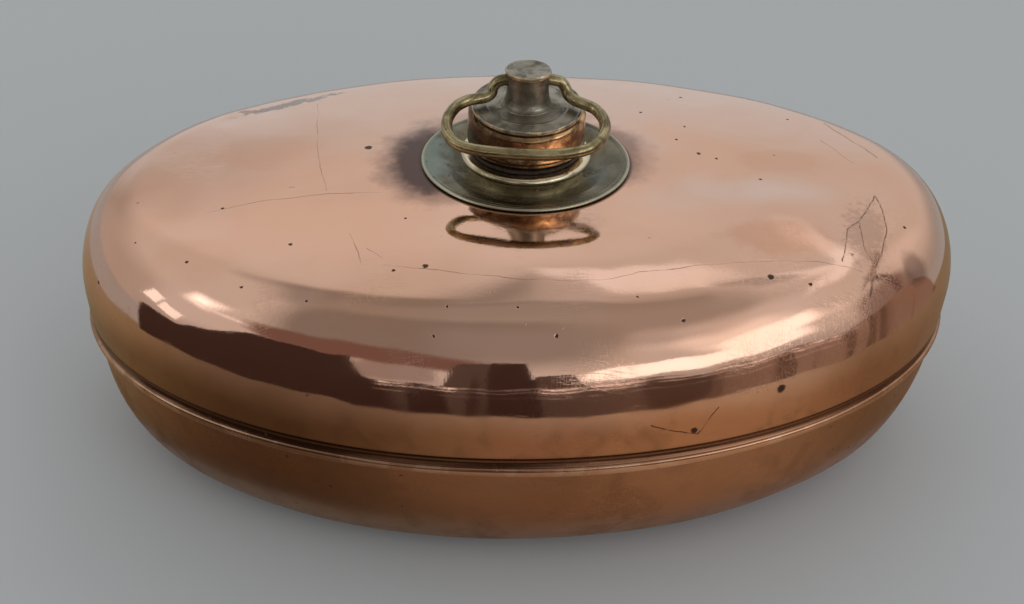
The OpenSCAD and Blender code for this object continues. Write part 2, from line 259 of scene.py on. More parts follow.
def shell_rows(t, bead, groove, shoulder, top):
    """Profile of the upper shell moved in by t: a round bead, a sine groove, a squared quarter ellipse
    and the crowned top, with a number of rows for each."""
    a = np.linspace(lip_a, np.pi, bead)
    up = (np.cos(lip_a) - np.cos(a)) / (np.cos(lip_a) + 1)
    one = rows_of(t - bead_out * np.sin(a), seam_z + bead_h * up)
    k = np.linspace(0, 1, groove + 1)[1:]
    two = rows_of(t + groove_in * np.sin(np.pi * k), bead_top + groove_h * k)
    a = np.linspace(0, np.pi / 2, shoulder)
    c, s = 1 - np.cos(a) ** (2 / shoulder_e), np.sin(a) ** (2 / shoulder_e)
    three = rows_of(t + (shoulder_w - t) * c, wall_top + (shoulder_h - t) * s + rise(shoulder_w * c))
    u = np.linspace(0, 1, top + 1)[1:]
    s = shoulder_w + (half_w - shoulder_w - hole_r) * u
    four = rows_of(shoulder_w, body_h - crown_h + rise(s) - t, u)
    return np.concatenate([one, two, three, four])


def pan_rows(t, count):
    """Profile of the pan moved in by t: a squared quarter ellipse from the wall down to the flat base."""
    a = np.linspace(0, np.pi / 2, count)
    c, s = 1 - np.cos(a) ** (2 / pan_e), 1 - np.sin(a) ** (2 / pan_e)
    return rows_of(pan_o + t + (pan_w - pan_o - t) * c, t + (seam_z - t) * s)


# Nodes

def rgb(r, g, b):
    return (r, g, b, 1.0)


def darker(colour, r, g, b):
    """The colour with its red, green and blue multiplied."""
    return (colour[0] * r, colour[1] * g, colour[2] * b)


def mm(*values):
    """Millimetres as metres."""
    return tuple(v * 0.001 for v in values)


class Tree:
    """Short calls that add nodes to one tree. A socket given as an input is linked, and any other value is set."""

    def __init__(self, tree):
        self.tree = tree

    def feed(self, node, inputs):
        for key, value in inputs.items():
            if isinstance(value, bpy.types.NodeSocket):
                self.tree.links.new(value, node.inputs[key])
            else:
                node.inputs[key].default_value = value

    def add(self, kind, inputs=None, **settings):
        node = self.tree.nodes.new(kind)
        for key, value in settings.items():
            setattr(node, key, value)
        self.feed(node, inputs or {})
        return node

    def math(self, operation, a, b=0.5, clamp=False):
        return self.add("ShaderNodeMath", {0: a, 1: b}, operation=operation, use_clamp=clamp).outputs[0]

    def times(self, a, b):
        return self.math("MULTIPLY", a, b)

    def most(self, a, b):
        return self.math("MAXIMUM", a, b)

    def rest(self, a):
        return self.math("SUBTRACT", 1.0, a)

    def vector(self, operation, a, b=(0, 0, 0)):
        return self.add("ShaderNodeVectorMath", {0: a, 1: b}, operation=operation).outputs[0]

    def scaled(self, a, share):
        return self.add("ShaderNodeVectorMath", {0: a, 3: share}, operation="SCALE").outputs[0]

    def measure(self, operation, a, b=(0, 0, 0)):
        """A number worked out from one or two vectors, such as their dot product or distance."""
        return self.add("ShaderNodeVectorMath", {0: a, 1: b}, operation=operation).outputs["Value"]

    def axis(self, place, k):
        return self.add("ShaderNodeSeparateXYZ", {0: place}).outputs[k]

    def from_axis(self, place):
        """Distance from the Z axis."""
        return self.measure("LENGTH", self.vector("MULTIPLY", place, (1, 1, 0)))

    def smooth(self, value, low, high, to_low=0.0, to_high=1.0):
        return self.add("ShaderNodeMapRange", {0: value, 1: low, 2: high, 3: to_low, 4: to_high},
                        interpolation_type="SMOOTHSTEP").outputs[0]

    def spot(self, distance, soft):
        """Inside of a form: 1 where the distance is under 1, softly cut off."""
        return self.smooth(distance, self.math("ADD", 1.0, soft), self.rest(soft))

    def blend(self, share, a, b):
        return self.add("ShaderNodeMix", {0: share, 6: a, 7: b}, data_type="RGBA", blend_type="MIX").outputs[2]

    def over(self, colour, mask, share, tint):
        """The colour with a share of the tint laid over it inside the mask."""
        return self.blend(self.times(mask, share), colour, rgb(*tint))

    def plus(self, value, parts):
        """The value with each mask times its amount added."""
        for mask, amount in parts:
            value = self.math("ADD", value, self.times(mask, amount))
        return value

    def less(self, value, mask, amount):
        return self.math("SUBTRACT", value, self.times(mask, amount))

    def noise(self, vector, scale, detail=3.0, rough=0.5, twist=0.0):
        return self.add("ShaderNodeTexNoise", {"Vector": vector, "Scale": scale, "Detail": detail,
                                               "Roughness": rough, "Distortion": twist}).outputs[0]

    def uneven(self, *noise):
        """Noise about 0."""
        return self.math("SUBTRACT", self.noise(*noise), 0.5)

    def mask(self, group, place, **inputs):
        return self.add("ShaderNodeGroup", {"Vector": place, **inputs}, node_tree=group).outputs["Mask"]


def mask_group(name, pattern, **inputs):
    """A node group that puts out the mask made by the pattern from a Vector and named inputs, in their order.
    The inputs come with their start values."""
    tree = bpy.data.node_groups.new(name, "ShaderNodeTree")
    for key, value in {"Vector": None, **inputs}.items():
        kind = "Float" if isinstance(value, float) else "Vector"
        socket = tree.interface.new_socket(name=key, in_out="INPUT", socket_type="NodeSocket" + kind)
        if value is not None:
            socket.default_value = value
    tree.interface.new_socket(name="Mask", in_out="OUTPUT", socket_type="NodeSocketFloat")
    t = Tree(tree)
    given, out = t.add("NodeGroupInput").outputs, t.add("NodeGroupOutput")
    t.feed(out, {"Mask": pattern(t, *(given[key] for key in ("Vector", *inputs)))})
    return tree


def cloud_pattern(t, place, scale, detail, low, high):
    """Clouds of colour or tarnish: noise cut off softly between low and high."""
    return t.smooth(t.noise(place, scale, detail, 0.55, 0.6), low, high)


def scratch_pattern(t, place, scale, width):
    """Fine polishing scratches: the thin contour lines of three stretched noises, broken up by a coarse one."""
    masks = []
    for turn, stretch in ((0.35, (1.0, 14.0, 4.0)), (2.1, (16.0, 1.0, 4.0)), (1.2, (1.0, 22.0, 6.0))):
        lay = t.add("ShaderNodeMapping", {"Vector": place, "Rotation": (0, 0, turn), "Scale": stretch}).outputs[0]
        away = t.math("ABSOLUTE", t.uneven(lay, scale, 2.0, 0.5))
        masks.append(t.rest(t.smooth(away, 0.0, width)))
    gaps = t.smooth(t.noise(place, t.times(scale, 0.6), 2.0), 0.48, 0.66)
    return t.times(reduce(t.most, masks), gaps)


def speck_pattern(t, place, scale, size, share):
    """Specks and pits: cells whose random number is below the share, each with a round spot of its own size."""
    wobble = t.add("ShaderNodeTexNoise", {"Vector": place, "Scale": t.times(scale, 3.0)}).outputs[1]
    away = t.scaled(t.vector("SUBTRACT", wobble, (0.5, 0.5, 0.5)), t.math("DIVIDE", 0.5, scale))
    cell = t.add("ShaderNodeTexVoronoi", {"Vector": t.vector("ADD", place, away), "Scale": scale})
    chance = t.add("ShaderNodeSeparateColor", {0: cell.outputs["Color"]}).outputs
    own = t.times(size, t.math("ADD", t.times(chance[1], 0.8), 0.2))
    spot = t.rest(t.smooth(cell.outputs["Distance"], t.times(own, 0.5), own))
    return t.times(spot, t.math("LESS_THAN", chance[0], share))


def stain_pattern(t, place, centre, turn, radii, ragged, grain, soft):
    """Inside of one stain: distance from the centre in units of the radii after a turn, made ragged by noise."""
    lay = t.add("ShaderNodeVectorRotate", {"Vector": t.vector("SUBTRACT", place, centre), "Rotation": turn},
                rotation_type="EULER_XYZ", invert=True).outputs[0]
    far = t.measure("LENGTH", t.vector("DIVIDE", lay, radii))
    rag = t.times(t.uneven(place, grain, 4.0, 0.6), ragged)
    return t.spot(t.math("ADD", far, t.times(rag, 2.0)), soft)


cloudy = mask_group("cloudy_tarnish", cloud_pattern, Scale=30.0, Detail=4.0, Low=0.4, High=0.7)
scratches = mask_group("polishing_scratches", scratch_pattern, Scale=60.0, Width=0.012)
specks = mask_group("specks_and_pits", speck_pattern, Scale=120.0, Size=0.25, Share=0.2)
stain = mask_group("ragged_stain", stain_pattern, Centre=(0, 0, 0), Turn=(0, 0, 0), Radii=(0.01, 0.01, 0.01),
                   Ragged=0.3, Grain=90.0, Soft=0.3)


# Materials

def start(name):
    """A new material: its node tree, its shader and the object coordinates in metres."""
    material = bpy.data.materials.new(name)
    material.use_nodes = True
    t = Tree(material.node_tree)
    shader = material.node_tree.nodes["Principled BSDF"]
    return material, t, shader, t.add("ShaderNodeTexCoord").outputs["Object"]


def finish_metal(t, shader, colour, rough, height, bump, metallic=1.0):
    """Joins colour, roughness and height to the shader."""
    relief = t.add("ShaderNodeBump", {"Strength": 1.0, "Distance": bump, "Height": height})
    t.feed(shader, {"Base Color": colour, "Roughness": rough, "Metallic": metallic, "Normal": relief.outputs[0]})


def shaken(t, place, scale, reach):
    """The place moved about by noise of that scale, at most half of reach each way."""
    noise = t.add("ShaderNodeTexNoise", {"Vector": place, "Scale": scale, "Detail": 2.0}).outputs[1]
    return t.vector("ADD", place, t.scaled(t.vector("SUBTRACT", noise, (0.5, 0.5, 0.5)), reach))


def least(t, distances):
    """The smallest distance. Each is compared as soon as it is made, or the shader gets too big to render."""
    return reduce(lambda near, d: t.math("MINIMUM", near, d), distances)


def near_spots(t, place, spots):
    """Round spots with ragged edges: the least distance to any middle in units of its radius,
    cut off softly at 1."""
    p = shaken(t, place, 900.0, 0.0009)
    near = least(t, (t.math("DIVIDE", t.measure("DISTANCE", p, mm(x, y, z)), radius * 0.001)
                     for x, y, z, radius in spots))
    return t.smooth(near, 1.3, 0.7)


def near_lines(t, place, paths, weights=(1.0, 1.0, 0.15)):
    """Scored lines: the least distance to any stretch of the paths in units of its width, cut off softly at 1.
    The weights make the direction square to the sheet count for less, as the stretches cut through its curve."""
    p = t.vector("MULTIPLY", shaken(t, shaken(t, place, 60.0, 0.003), 420.0, 0.0007), weights)

    def distance(a, b, width):
        a, b = np.array(a) * weights, np.array(b) * weights
        way = (b - a) * 0.001
        from_a = t.vector("SUBTRACT", p, mm(*a))
        share = t.math("ADD", t.measure("DOT_PRODUCT", from_a, tuple(way / (way @ way))), 0.0, clamp=True)
        return t.math("DIVIDE", t.measure("DISTANCE", from_a, t.scaled(tuple(way), share)), width * 0.001)
    near = least(t, (distance(a, b, width) for width, points in paths for a, b in zip(points, points[1:])))
    return t.smooth(near, 1.0, 0.3)


def copper_body(name, top, wall, wall_in_painted_shade, low, high):
    """Hand-polished copper: pale pink above, brown and orange patina on the walls with painted shade darkening them
    towards the left side, and between the heights low and high the one turns into the other."""
    material, t, shader, place = start(name)
    x, z = t.axis(place, 0), t.axis(place, 2)
    wander = t.times(t.uneven(place, 22.0, 4.0, 0.55), 0.016)
    upper = t.smooth(t.math("ADD", z, wander), low, high)
    clouds = t.mask(cloudy, place, Scale=28.0, Low=0.38, High=0.68)
    fine = t.mask(cloudy, place, Scale=95.0, Detail=5.0, Low=0.45, High=0.72)
    colour = t.blend(clouds, rgb(*top), rgb(*darker(top, 0.985, 0.94, 0.89)))
    # Painted shade: the wall colour turns darker towards the left side, where less light falls.
    painted_left_shade = t.smooth(t.math("ADD", x, t.times(wander, 5.0)), 0.01, -0.07)
    patina = t.blend(painted_left_shade, rgb(*wall), rgb(*wall_in_painted_shade))
    patina = t.over(patina, fine, 0.55, darker(wall_in_painted_shade, 0.8, 0.75, 0.7))
    return material, t, shader, place, z, upper, t.blend(upper, patina, colour), clouds, fine


def stained(t, place, colour, stains):
    """The colour under several ragged stains, each as middle, radii, turn, raggedness, grain, softness, strength
    and colour."""
    for middle, radii, turn, ragged, grain, soft, strength, tint in stains:
        inside = t.mask(stain, place, Centre=mm(*middle), Radii=mm(*radii), Turn=(0, 0, turn),
                        Ragged=ragged, Grain=grain, Soft=soft)
        colour = t.over(colour, inside, strength, tint)
    return colour


# Marks on the copper top in millimetres: spots with their radius, scored lines with their width, and stains
top_spots = [
    (-52.9, 10.1, 95.8, 1.25), (-72.8, -46.9, 93.8, 0.6), (-96.1, -26.2, 94.0, 0.45), (-102.8, -51.1, 90.6, 0.5),
    (-120.9, -37.8, 89.2, 0.4), (-134.8, -37.8, 74.6, 0.6), (-85.2, -63.3, 90.0, 0.4), (-66.1, -70.7, 90.1, 0.4),
    (-39.1, -36.1, 95.8, 0.4), (-32.8, -60.2, 94.3, 0.85), (-41.9, -61.3, 93.8, 0.55), (-26.6, -76.5, 91.8, 0.5),
    (-7.2, -77.9, 92.2, 0.4), (-30.5, -83.8, 87.1, 0.4), (3.2, -85.4, 87.7, 0.6), (59.8, 5.0, 95.5, 0.8),
    (53.4, -23.2, 95.8, 0.45), (60.9, -23.2, 95.7, 0.45), (44.4, -43.6, 96.2, 0.5), (67.3, -65.2, 92.4, 1.0),
    (79.4, -65.7, 90.0, 0.6), (39.2, -80.4, 88.7, 0.55), (26.8, -74.7, 92.7, 0.4), (69.7, -85.0, 66.9, 1.35),
    (118.1, -36.4, 90.9, 0.5), (62.7, 53.3, 93.8, 0.6), (44.7, 37.3, 95.4, 0.6), (58.8, 25.6, 95.5, 0.5),
    (54.0, 15.4, 95.6, 0.5), (65.3, 1.5, 95.4, 0.5), (77.0, -12.6, 95.1, 0.55), (99.4, 35.4, 93.2, 0.5),
    (43.6, -92.5, 58.2, 1.0)]
top_lines = [
    (0.28, [(-100.4, -28.0, 93.7), (-82.7, -22.6, 94.6), (-64.2, -19.5, 95.1), (-47.4, -20.4, 95.9)]),
    (0.22, [(-73.6, 49.8, 93.4), (-69.8, 6.8, 95.4), (-65.0, -17.6, 95.2)]),
    (0.26, [(-55.4, -42.5, 94.6), (-51.6, -56.9, 93.7)]), (0.22, [(-49.9, -50.5, 94.4), (-45.3, -55.2, 94.3)]),
    (0.26, [(-44.7, -58.6, 93.9), (-32.9, -61.5, 94.1), (-17.4, -65.5, 94.4), (-4.6, -68.6, 94.6)]),
    (0.20, [(-4.6, -68.6, 94.6), (5.4, -69.2, 94.6), (16.9, -68.5, 94.5), (28.8, -65.6, 94.5)]),
    (0.24, [(28.8, -65.6, 94.5), (39.1, -63.5, 94.4), (53.1, -61.2, 94.2), (67.1, -59.2, 93.6), (79.6, -58.0, 92.6),
            (89.6, -58.2, 91.1), (97.8, -57.8, 89.0)]),
    (0.45, [(112.7, 33.7, 92.3), (123.6, 6.5, 92.7)]), (0.45, [(106.6, 18.0, 93.5), (113.1, 1.0, 93.4)])]
wall_lines = [
    (0.34, [(30.5, -94.6, 62.3), (35.4, -94.0, 60.1), (41.1, -93.1, 58.2), (45.1, -92.4, 56.9), (50.2, -90.9, 65.4)])]
leaf_lines = [
    (0.32, [(113.2, -19.4, 93.0), (112.7, -28.7, 92.5), (111.1, -38.5, 91.8), (106.5, -49.7, 89.9),
            (102.5, -55.8, 88.2)]),
    (0.32, [(113.2, -19.4, 93.0), (107.3, -29.1, 92.9), (102.9, -35.8, 92.8), (97.8, -40.0, 92.9),
            (91.8, -56.4, 91.3)]),
    (0.26, [(102.9, -35.8, 92.8), (100.8, -50.4, 91.2), (102.5, -54.2, 89.1)]),
    (0.7, [(102.5, -55.8, 88.2), (100.0, -63.2, 83.4)])]
top_stains = [
    ((-88, 10, 95), (18, 11, 8), 0.1, 0.8, 70.0, 0.35, 0.35, (0.78, 0.42, 0.26)),
    ((-100, -50, 91), (15, 8, 9), -0.3, 0.8, 70.0, 0.4, 0.25, (0.78, 0.42, 0.26)),
    ((87, 0, 95), (13, 9, 8), 0.0, 0.8, 80.0, 0.3, 0.35, (0.76, 0.40, 0.25)),
    ((74.5, -47.5, 95), (18, 8, 8), 0.1, 0.7, 80.0, 0.25, 0.42, (0.74, 0.38, 0.24)),
    ((-31, -1, 96), (19, 28, 12), 0.0, 0.35, 110.0, 0.22, 0.58, (0.28, 0.17, 0.14)),
    ((-30, -1, 96), (14.5, 22, 12), 0.0, 0.30, 150.0, 0.22, 0.93, (0.085, 0.052, 0.048)),
    ((29, 3, 96), (14.5, 22, 12), 0.0, 0.40, 130.0, 0.22, 0.38, (0.38, 0.22, 0.18)),
    ((28.5, 4, 96), (11, 19, 12), 0.0, 0.40, 150.0, 0.24, 0.55, (0.17, 0.10, 0.09)),
    ((0, 31, 96), (27, 9, 12), 0.0, 0.40, 130.0, 0.3, 0.40, (0.34, 0.21, 0.17)),
    ((-84, 51, 92.4), (17, 2.6, 4), 0.50, 1.3, 260.0, 0.25, 0.75, (0.25, 0.19, 0.16)),
    ((-98, 45.5, 92.3), (5.5, 1.6, 3), 0.15, 1.2, 300.0, 0.3, 0.7, (0.34, 0.18, 0.11)),
    ((119, -48.5, 84), (6, 4.5, 5), 0.0, 0.7, 90.0, 0.45, 0.65, (0.24, 0.13, 0.10)),
    ((103.5, -41, 92), (6, 14, 6), -0.32, 1.4, 420.0, 0.45, 0.36, (0.34, 0.20, 0.15))]


def copper_top_material():
    """Upper shell: pink polished top with orange patches, stains by the flange, spots, scratches and a patinated wall,
    with painted shade round the flange's edge and in the groove above the bead, and a painted highlight along the bead."""
    material, t, shader, place, z, upper, colour, clouds, fine = copper_body(
        "polished_copper_top", (0.86, 0.55, 0.415), (0.66, 0.315, 0.17), (0.43, 0.235, 0.125), 0.058, 0.074)
    colour = stained(t, place, colour, top_stains)
    # Painted shade: a dark band on the copper just outside the flange's raised edge, where its shadow falls.
    painted_shade_ring = t.smooth(t.from_axis(place), *mm(flange_r + 1.4, flange_r + 0.2))
    colour = t.over(colour, painted_shade_ring, 0.85, (0.07, 0.045, 0.035))
    spotted = near_spots(t, place, top_spots)
    worn = t.smooth(t.noise(place, 75.0, 4.0), 0.40, 0.58, 0.35, 1.0)
    scored = t.times(near_lines(t, place, top_lines), worn)
    leaf = t.most(near_lines(t, place, leaf_lines), near_lines(t, place, wall_lines, (1.0, 0.1, 1.0)))
    leaf = t.times(leaf, t.smooth(t.noise(place, 420.0, 2.0), 0.38, 0.50, 0.35, 1.0))
    colour = t.over(colour, scored, 0.6, (0.24, 0.13, 0.10))
    colour = t.over(colour, leaf, 0.85, (0.16, 0.085, 0.06))
    small = t.mask(specks, place, Scale=210.0, Size=0.13, Share=0.10)
    marks = t.most(spotted, t.times(small, 0.5))
    colour = t.blend(marks, colour, rgb(0.11, 0.06, 0.045))
    rubbed = t.mask(scratches, place, Scale=55.0, Width=0.01)
    # Painted shade: a dark band in the hollow groove just above the bead.
    under_wall, over_bead = mm(bead_top + 4.7, bead_top + 2.7), mm(bead_top - 1.0, bead_top + 0.4)
    painted_groove_shade = t.times(t.smooth(z, *under_wall), t.smooth(z, *over_bead))
    colour = t.over(colour, painted_groove_shade, 0.75, (0.10, 0.05, 0.03))
    # Painted highlight: pale copper laid along the bead and the lip below it, broken up by the fine mottling.
    on_bead = t.smooth(z, *mm(bead_top + 0.4, bead_top - 0.6))
    painted_bead_highlight = t.times(on_bead, t.smooth(fine, 0.0, 0.5, 0.45, 1.0))
    colour = t.over(colour, painted_bead_highlight, 0.75, (0.88, 0.58, 0.40))
    rough = t.plus(t.smooth(upper, 0.0, 1.0, 0.21, 0.055), (
        (clouds, 0.025), (fine, 0.025), (painted_shade_ring, 0.2), (marks, 0.4), (scored, 0.2), (leaf, 0.3), (rubbed, 0.10)))
    height = t.math("SUBTRACT", t.times(t.noise(place, 900.0, 2.0), 0.06), marks)
    finish_metal(t, shader, colour, rough, t.less(height, rubbed, 0.05), 0.00012)
    return material


def copper_pan_material():
    """Pan: brown and orange patina, darker blotches, painted shade near the floor, dull towards the base."""
    material, t, shader, place, z, _, colour, _, fine = copper_body(
        "patinated_copper_pan", (0.52, 0.265, 0.145), (0.48, 0.235, 0.125), (0.38, 0.205, 0.105), 0.012, 0.05)
    blotches = t.mask(cloudy, place, Scale=60.0, Detail=6.0, Low=0.5, High=0.66)
    colour = t.over(colour, blotches, 0.24, (0.18, 0.09, 0.05))
    # Painted shade: the colour darkens over the lowest 12 mm, next to the floor.
    colour = t.over(colour, t.smooth(z, 0.012, 0.0), 0.7, (0.17, 0.09, 0.06))
    small = t.mask(specks, place, Scale=240.0, Size=0.2, Share=0.2)
    colour = t.over(colour, small, 0.6, (0.07, 0.04, 0.03))
    rubbed = t.mask(scratches, place, Scale=50.0, Width=0.014)
    colour = t.over(colour, rubbed, 0.35, (0.70, 0.38, 0.22))
    rough = t.plus(t.smooth(z, 0.0, 0.04, 0.42, 0.27), (
        (blotches, 0.08), (small, 0.2), (rubbed, -0.05), (fine, 0.05)))
    height = t.math("SUBTRACT", t.times(t.noise(place, 700.0, 3.0), 0.2), small)
    finish_metal(t, shader, colour, rough, height, 0.0001)
    return material


def worn_brass(name, bright, dull, scale, share, rough, grain=0.00006, specks_in=0.15, rings=0.0,
               edges=(), drawn=False, darkened=None):
    """Turned brass or bronze, bright where it is handled and dull in clouds, with specks, tool rings on turned
    pieces, painted highlights on edges between two radii and two heights, drawn lines along a wire, and painted
    shade that fades out from left to right between two places."""
    material, t, shader, place = start(name)
    clouds = t.mask(cloudy, place, Scale=scale, Detail=5.0, Low=0.62 - share * 0.4, High=0.78 - share * 0.2)
    tint = t.mask(cloudy, place, Scale=scale * 0.35, Low=0.35, High=0.7)
    colour = t.blend(clouds, rgb(*bright), rgb(*dull))
    colour = t.over(colour, tint, 0.25, darker(dull, 0.8, 0.85, 0.6))
    small = t.mask(specks, place, Scale=scale * 4, Size=0.3, Share=specks_in)
    colour = t.over(colour, small, 0.75, darker(dull, 0.3, 0.3, 0.3))
    rubbed = t.mask(scratches, place, Scale=140.0, Width=0.02)
    level = t.plus(t.smooth(clouds, 0.0, 1.0, *rough), ((small, 0.2), (rubbed, 0.08)))
    height = t.math("SUBTRACT", t.times(t.noise(place, 900.0, 3.0), 0.5), small)
    height = t.less(height, rubbed, 0.3)
    if rings:
        ring_width = 0.0007
        where = t.math("ADD", t.from_axis(place), t.axis(place, 2))
        turned_rings = t.math("SINE", t.times(where, 2 * np.pi / ring_width))
        height = t.plus(height, ((turned_rings, rings),))
    # Painted highlight: each edge is laid over with pale brass and made a little smoother, where light glints on it.
    for r_low, r_high, z_low, z_high in edges:
        across = t.smooth(t.from_axis(place), r_low * 0.001, r_high * 0.001)
        high = t.smooth(t.axis(place, 2), z_low * 0.001, z_high * 0.001)
        patchy = t.smooth(t.noise(place, 260.0, 3.0), 0.36, 0.56)
        edge = t.times(t.times(across, high), patchy)
        colour = t.over(colour, edge, 0.85, (0.66, 0.54, 0.36))
        level = t.less(level, edge, 0.2)
    # Painted shade: the colour darkens towards the left, from the second place given to the first, where less light
    # falls.
    if darkened:
        x = t.axis(shaken(t, place, 180.0, 0.009), 0)
        shade = t.smooth(x, darkened[1], darkened[0], 0.0, 0.85)
        colour = t.blend(shade, colour, rgb(*darker(dull, 0.45, 0.5, 0.5)))
    if drawn:
        wire = t.add("ShaderNodeAttribute", attribute_name="wire", attribute_type="GEOMETRY").outputs["Vector"]
        lines = t.smooth(t.noise(wire, 3.2, 3.0, 0.6), 0.52, 0.60)
        colour = t.over(colour, lines, 0.7, darker(dull, 0.55, 0.5, 0.45))
        height = t.less(height, lines, 0.6)
    finish_metal(t, shader, colour, level, height, grain)
    return material


def flange_material():
    """Flange: tarnished brass, grey and olive, with a pale green bloom on its left edge and a bright rim that is a
    painted highlight.
    """
    material, t, shader, place = start("tarnished_flange_brass")
    across = t.from_axis(place)
    clouds = t.mask(cloudy, place, Scale=70.0, Detail=5.0, Low=0.35, High=0.7)
    colour = t.blend(clouds, rgb(0.205, 0.178, 0.118), rgb(0.115, 0.10, 0.066))
    bloom = t.mask(stain, place, Centre=mm(-33, 1, 97), Radii=mm(6, 25, 10), Ragged=0.9, Grain=130.0, Soft=0.5)
    colour = t.over(colour, bloom, 0.6, (0.33, 0.41, 0.35))
    # Painted highlight: the outer rim is laid over with pale brass where its raised lip catches the light.
    rim = t.smooth(across, *mm(flange_r - 1.3, flange_r - 0.3))
    colour = t.over(colour, rim, 0.8, (0.60, 0.56, 0.42))
    small = t.mask(specks, place, Scale=420.0, Size=0.3, Share=0.25)
    colour = t.over(colour, small, 0.6, (0.08, 0.07, 0.05))
    rubbed = t.mask(scratches, place, Scale=110.0, Width=0.02)
    rough = t.plus(t.smooth(clouds, 0.0, 1.0, 0.20, 0.32), ((small, 0.2), (bloom, 0.12)))
    pits = t.plus(small, ((rubbed, 0.3),))
    height = t.math("SUBTRACT", t.times(t.noise(place, 800.0, 3.0), 0.4), pits)
    finish_metal(t, shader, colour, rough, height, 0.00006, t.less(1.0, bloom, 0.35))
    return material


def leather_material():
    """Leather washer: dark brown, with creased grain and pores."""
    material, t, shader, place = start("old_leather")
    grain = t.noise(place, 520.0, 5.0, 0.6, 0.3)
    pores = t.mask(specks, place, Scale=900.0, Size=0.35, Share=0.5)
    colour = t.blend(t.smooth(grain, 0.3, 0.7), rgb(0.018, 0.010, 0.007), rgb(0.055, 0.032, 0.020))
    rough = t.smooth(grain, 0.2, 0.8, 0.75, 0.55)
    finish_metal(t, shader, colour, rough, t.less(grain, pores, 0.4), 0.00025, 0.0)
    return material


def solder_material():
    """Solder: dull grey tin with a wrinkled skin and flux stains."""
    material, t, shader, place = start("dull_solder")
    skin = t.noise(place, 380.0, 5.0, 0.6, 0.8)
    flux = t.mask(cloudy, place, Scale=90.0, Low=0.5, High=0.7)
    colour = t.over(rgb(0.52, 0.52, 0.50), flux, 0.7, (0.25, 0.20, 0.13))
    finish_metal(t, shader, colour, t.smooth(flux, 0.0, 1.0, 0.35, 0.6), skin, 0.0002)
    return material


copper_top = copper_top_material()
copper_pan = copper_pan_material()
flange_brass = flange_material()
rim_brass = worn_brass("bright_rim_brass", (0.88, 0.80, 0.60), (0.34, 0.27, 0.15), 90.0, 0.35, (0.14, 0.30))
plug_brass = worn_brass("plug_brass", (0.66, 0.50, 0.24), (0.36, 0.26, 0.13), 110.0, 0.5, (0.22, 0.45))
# The drum is given painted shade on its left side.
drum_copper = worn_brass("speckled_drum_copper", (0.80, 0.50, 0.25), (0.19, 0.11, 0.065), 170.0, 0.55,
                         (0.13, 0.34), specks_in=0.45, darkened=(-0.009, 0.005))
# The crown's lip and the post head's lower edge are given painted highlights.
dark_bronze = worn_brass("dark_post_bronze", (0.40, 0.365, 0.30), (0.19, 0.168, 0.135), 150.0, 0.55,
                         (0.36, 0.54), 0.00012, 0.3, rings=0.07,
                         edges=((17.5, 18.1, 114.0, 114.8), (6.7, 7.3, post_top - 2.2, post_top - 1.4)))
wire_brass = worn_brass("handled_wire_brass", (0.50, 0.42, 0.235), (0.20, 0.16, 0.085), 160.0, 0.5,
                        (0.15, 0.29), specks_in=0.12, drawn=True)
old_leather = leather_material()
dull_solder = solder_material()


# Copper body

def flat_front(p):
    """Height added so that the top stays nearly level in front of the neck before it rounds over: 1.6 mm times
    a smooth rise from 34 to 65 mm out and a smooth fall from 62 to 90 mm, faded to the sides, and 0.6 mm times
    a rise that starts steep at the flange, 1 - (1 - t)^2 over its first 16 mm, and falls smoothly from 52 to 92 mm."""
    x, y = p[..., 0], p[..., 1]
    out = np.hypot(x * 0.75, y)
    bearing = ease((-y - 12) / 24) * ease((x + 26) / 26)
    beside = ease((-y - 8) / 20) * ease((x + 40) / 18)
    first = 1 - (1 - np.clip((out - 34) / 16, 0, 1)) ** 2
    return (1.6 * ease((out - 34) / 31) * ease((90 - out) / 28) * bearing
            + 0.6 * first * ease((92 - out) / 40) * beside)


def make_copper_shell():
    """Upper shell: its outer rows, pushed in by slow waves and dents and raised in front of the neck, with an uneven
    lip that stands a little open in front, then its plain inner rows back to the lip."""
    p = oval_rings(shell_rows(0.0, 16, 18, 56, 36))
    rows = len(p)
    points = np.concatenate([p, oval_rings(shell_rows(sheet_t, 8, 8, 20, 10)[::-1])])
    rng = np.random.default_rng(11)
    knocks = [(-93, 48, 93, 7, 0.55), (-76, 59, 92.6, 6, 0.4), (-104, 38, 92.6, 5, 0.3), (-60, -82, 84, 9, 0.2),
              (46, -93, 63, 6, 0.25), (104, -40, 92.5, 9, 0.18), (-22, -88, 84, 8, 0.16), (88, -70, 83, 9, 0.2)]
    for angle, share in zip(rng.uniform(0, 2 * np.pi, 16), rng.uniform(0.45, 0.9, 16)):
        knocks.append((half_l * share * np.cos(angle), half_w * share * np.sin(angle), 94,
                       rng.uniform(2.5, 5), rng.uniform(0.03, 0.08)))
    moved = waves(p, 34, 0.55, 3) + waves(p, 12, 0.10, 5) - 0.25 - dents(p, knocks)
    clear = beyond(p, 36, 14) * above(p, 54, 8)
    points[:rows] += outward_of(points, 60)[:rows] * (moved * clear)[..., None]
    lip = ease((seam_z + 1.2 - p[..., 2]) / 1.2)
    opened = ease(1 - np.abs((oval_angles[None, :] - np.radians(281)) / np.radians(24)))
    points[:rows, :, 2] += flat_front(p) - lip * (0.15 * waves(p, 20, 1.0, 8) + 0.1 + 0.55 * opened)
    return piece("copper_shell", points, "vessel", "upper_shell", copper_top)


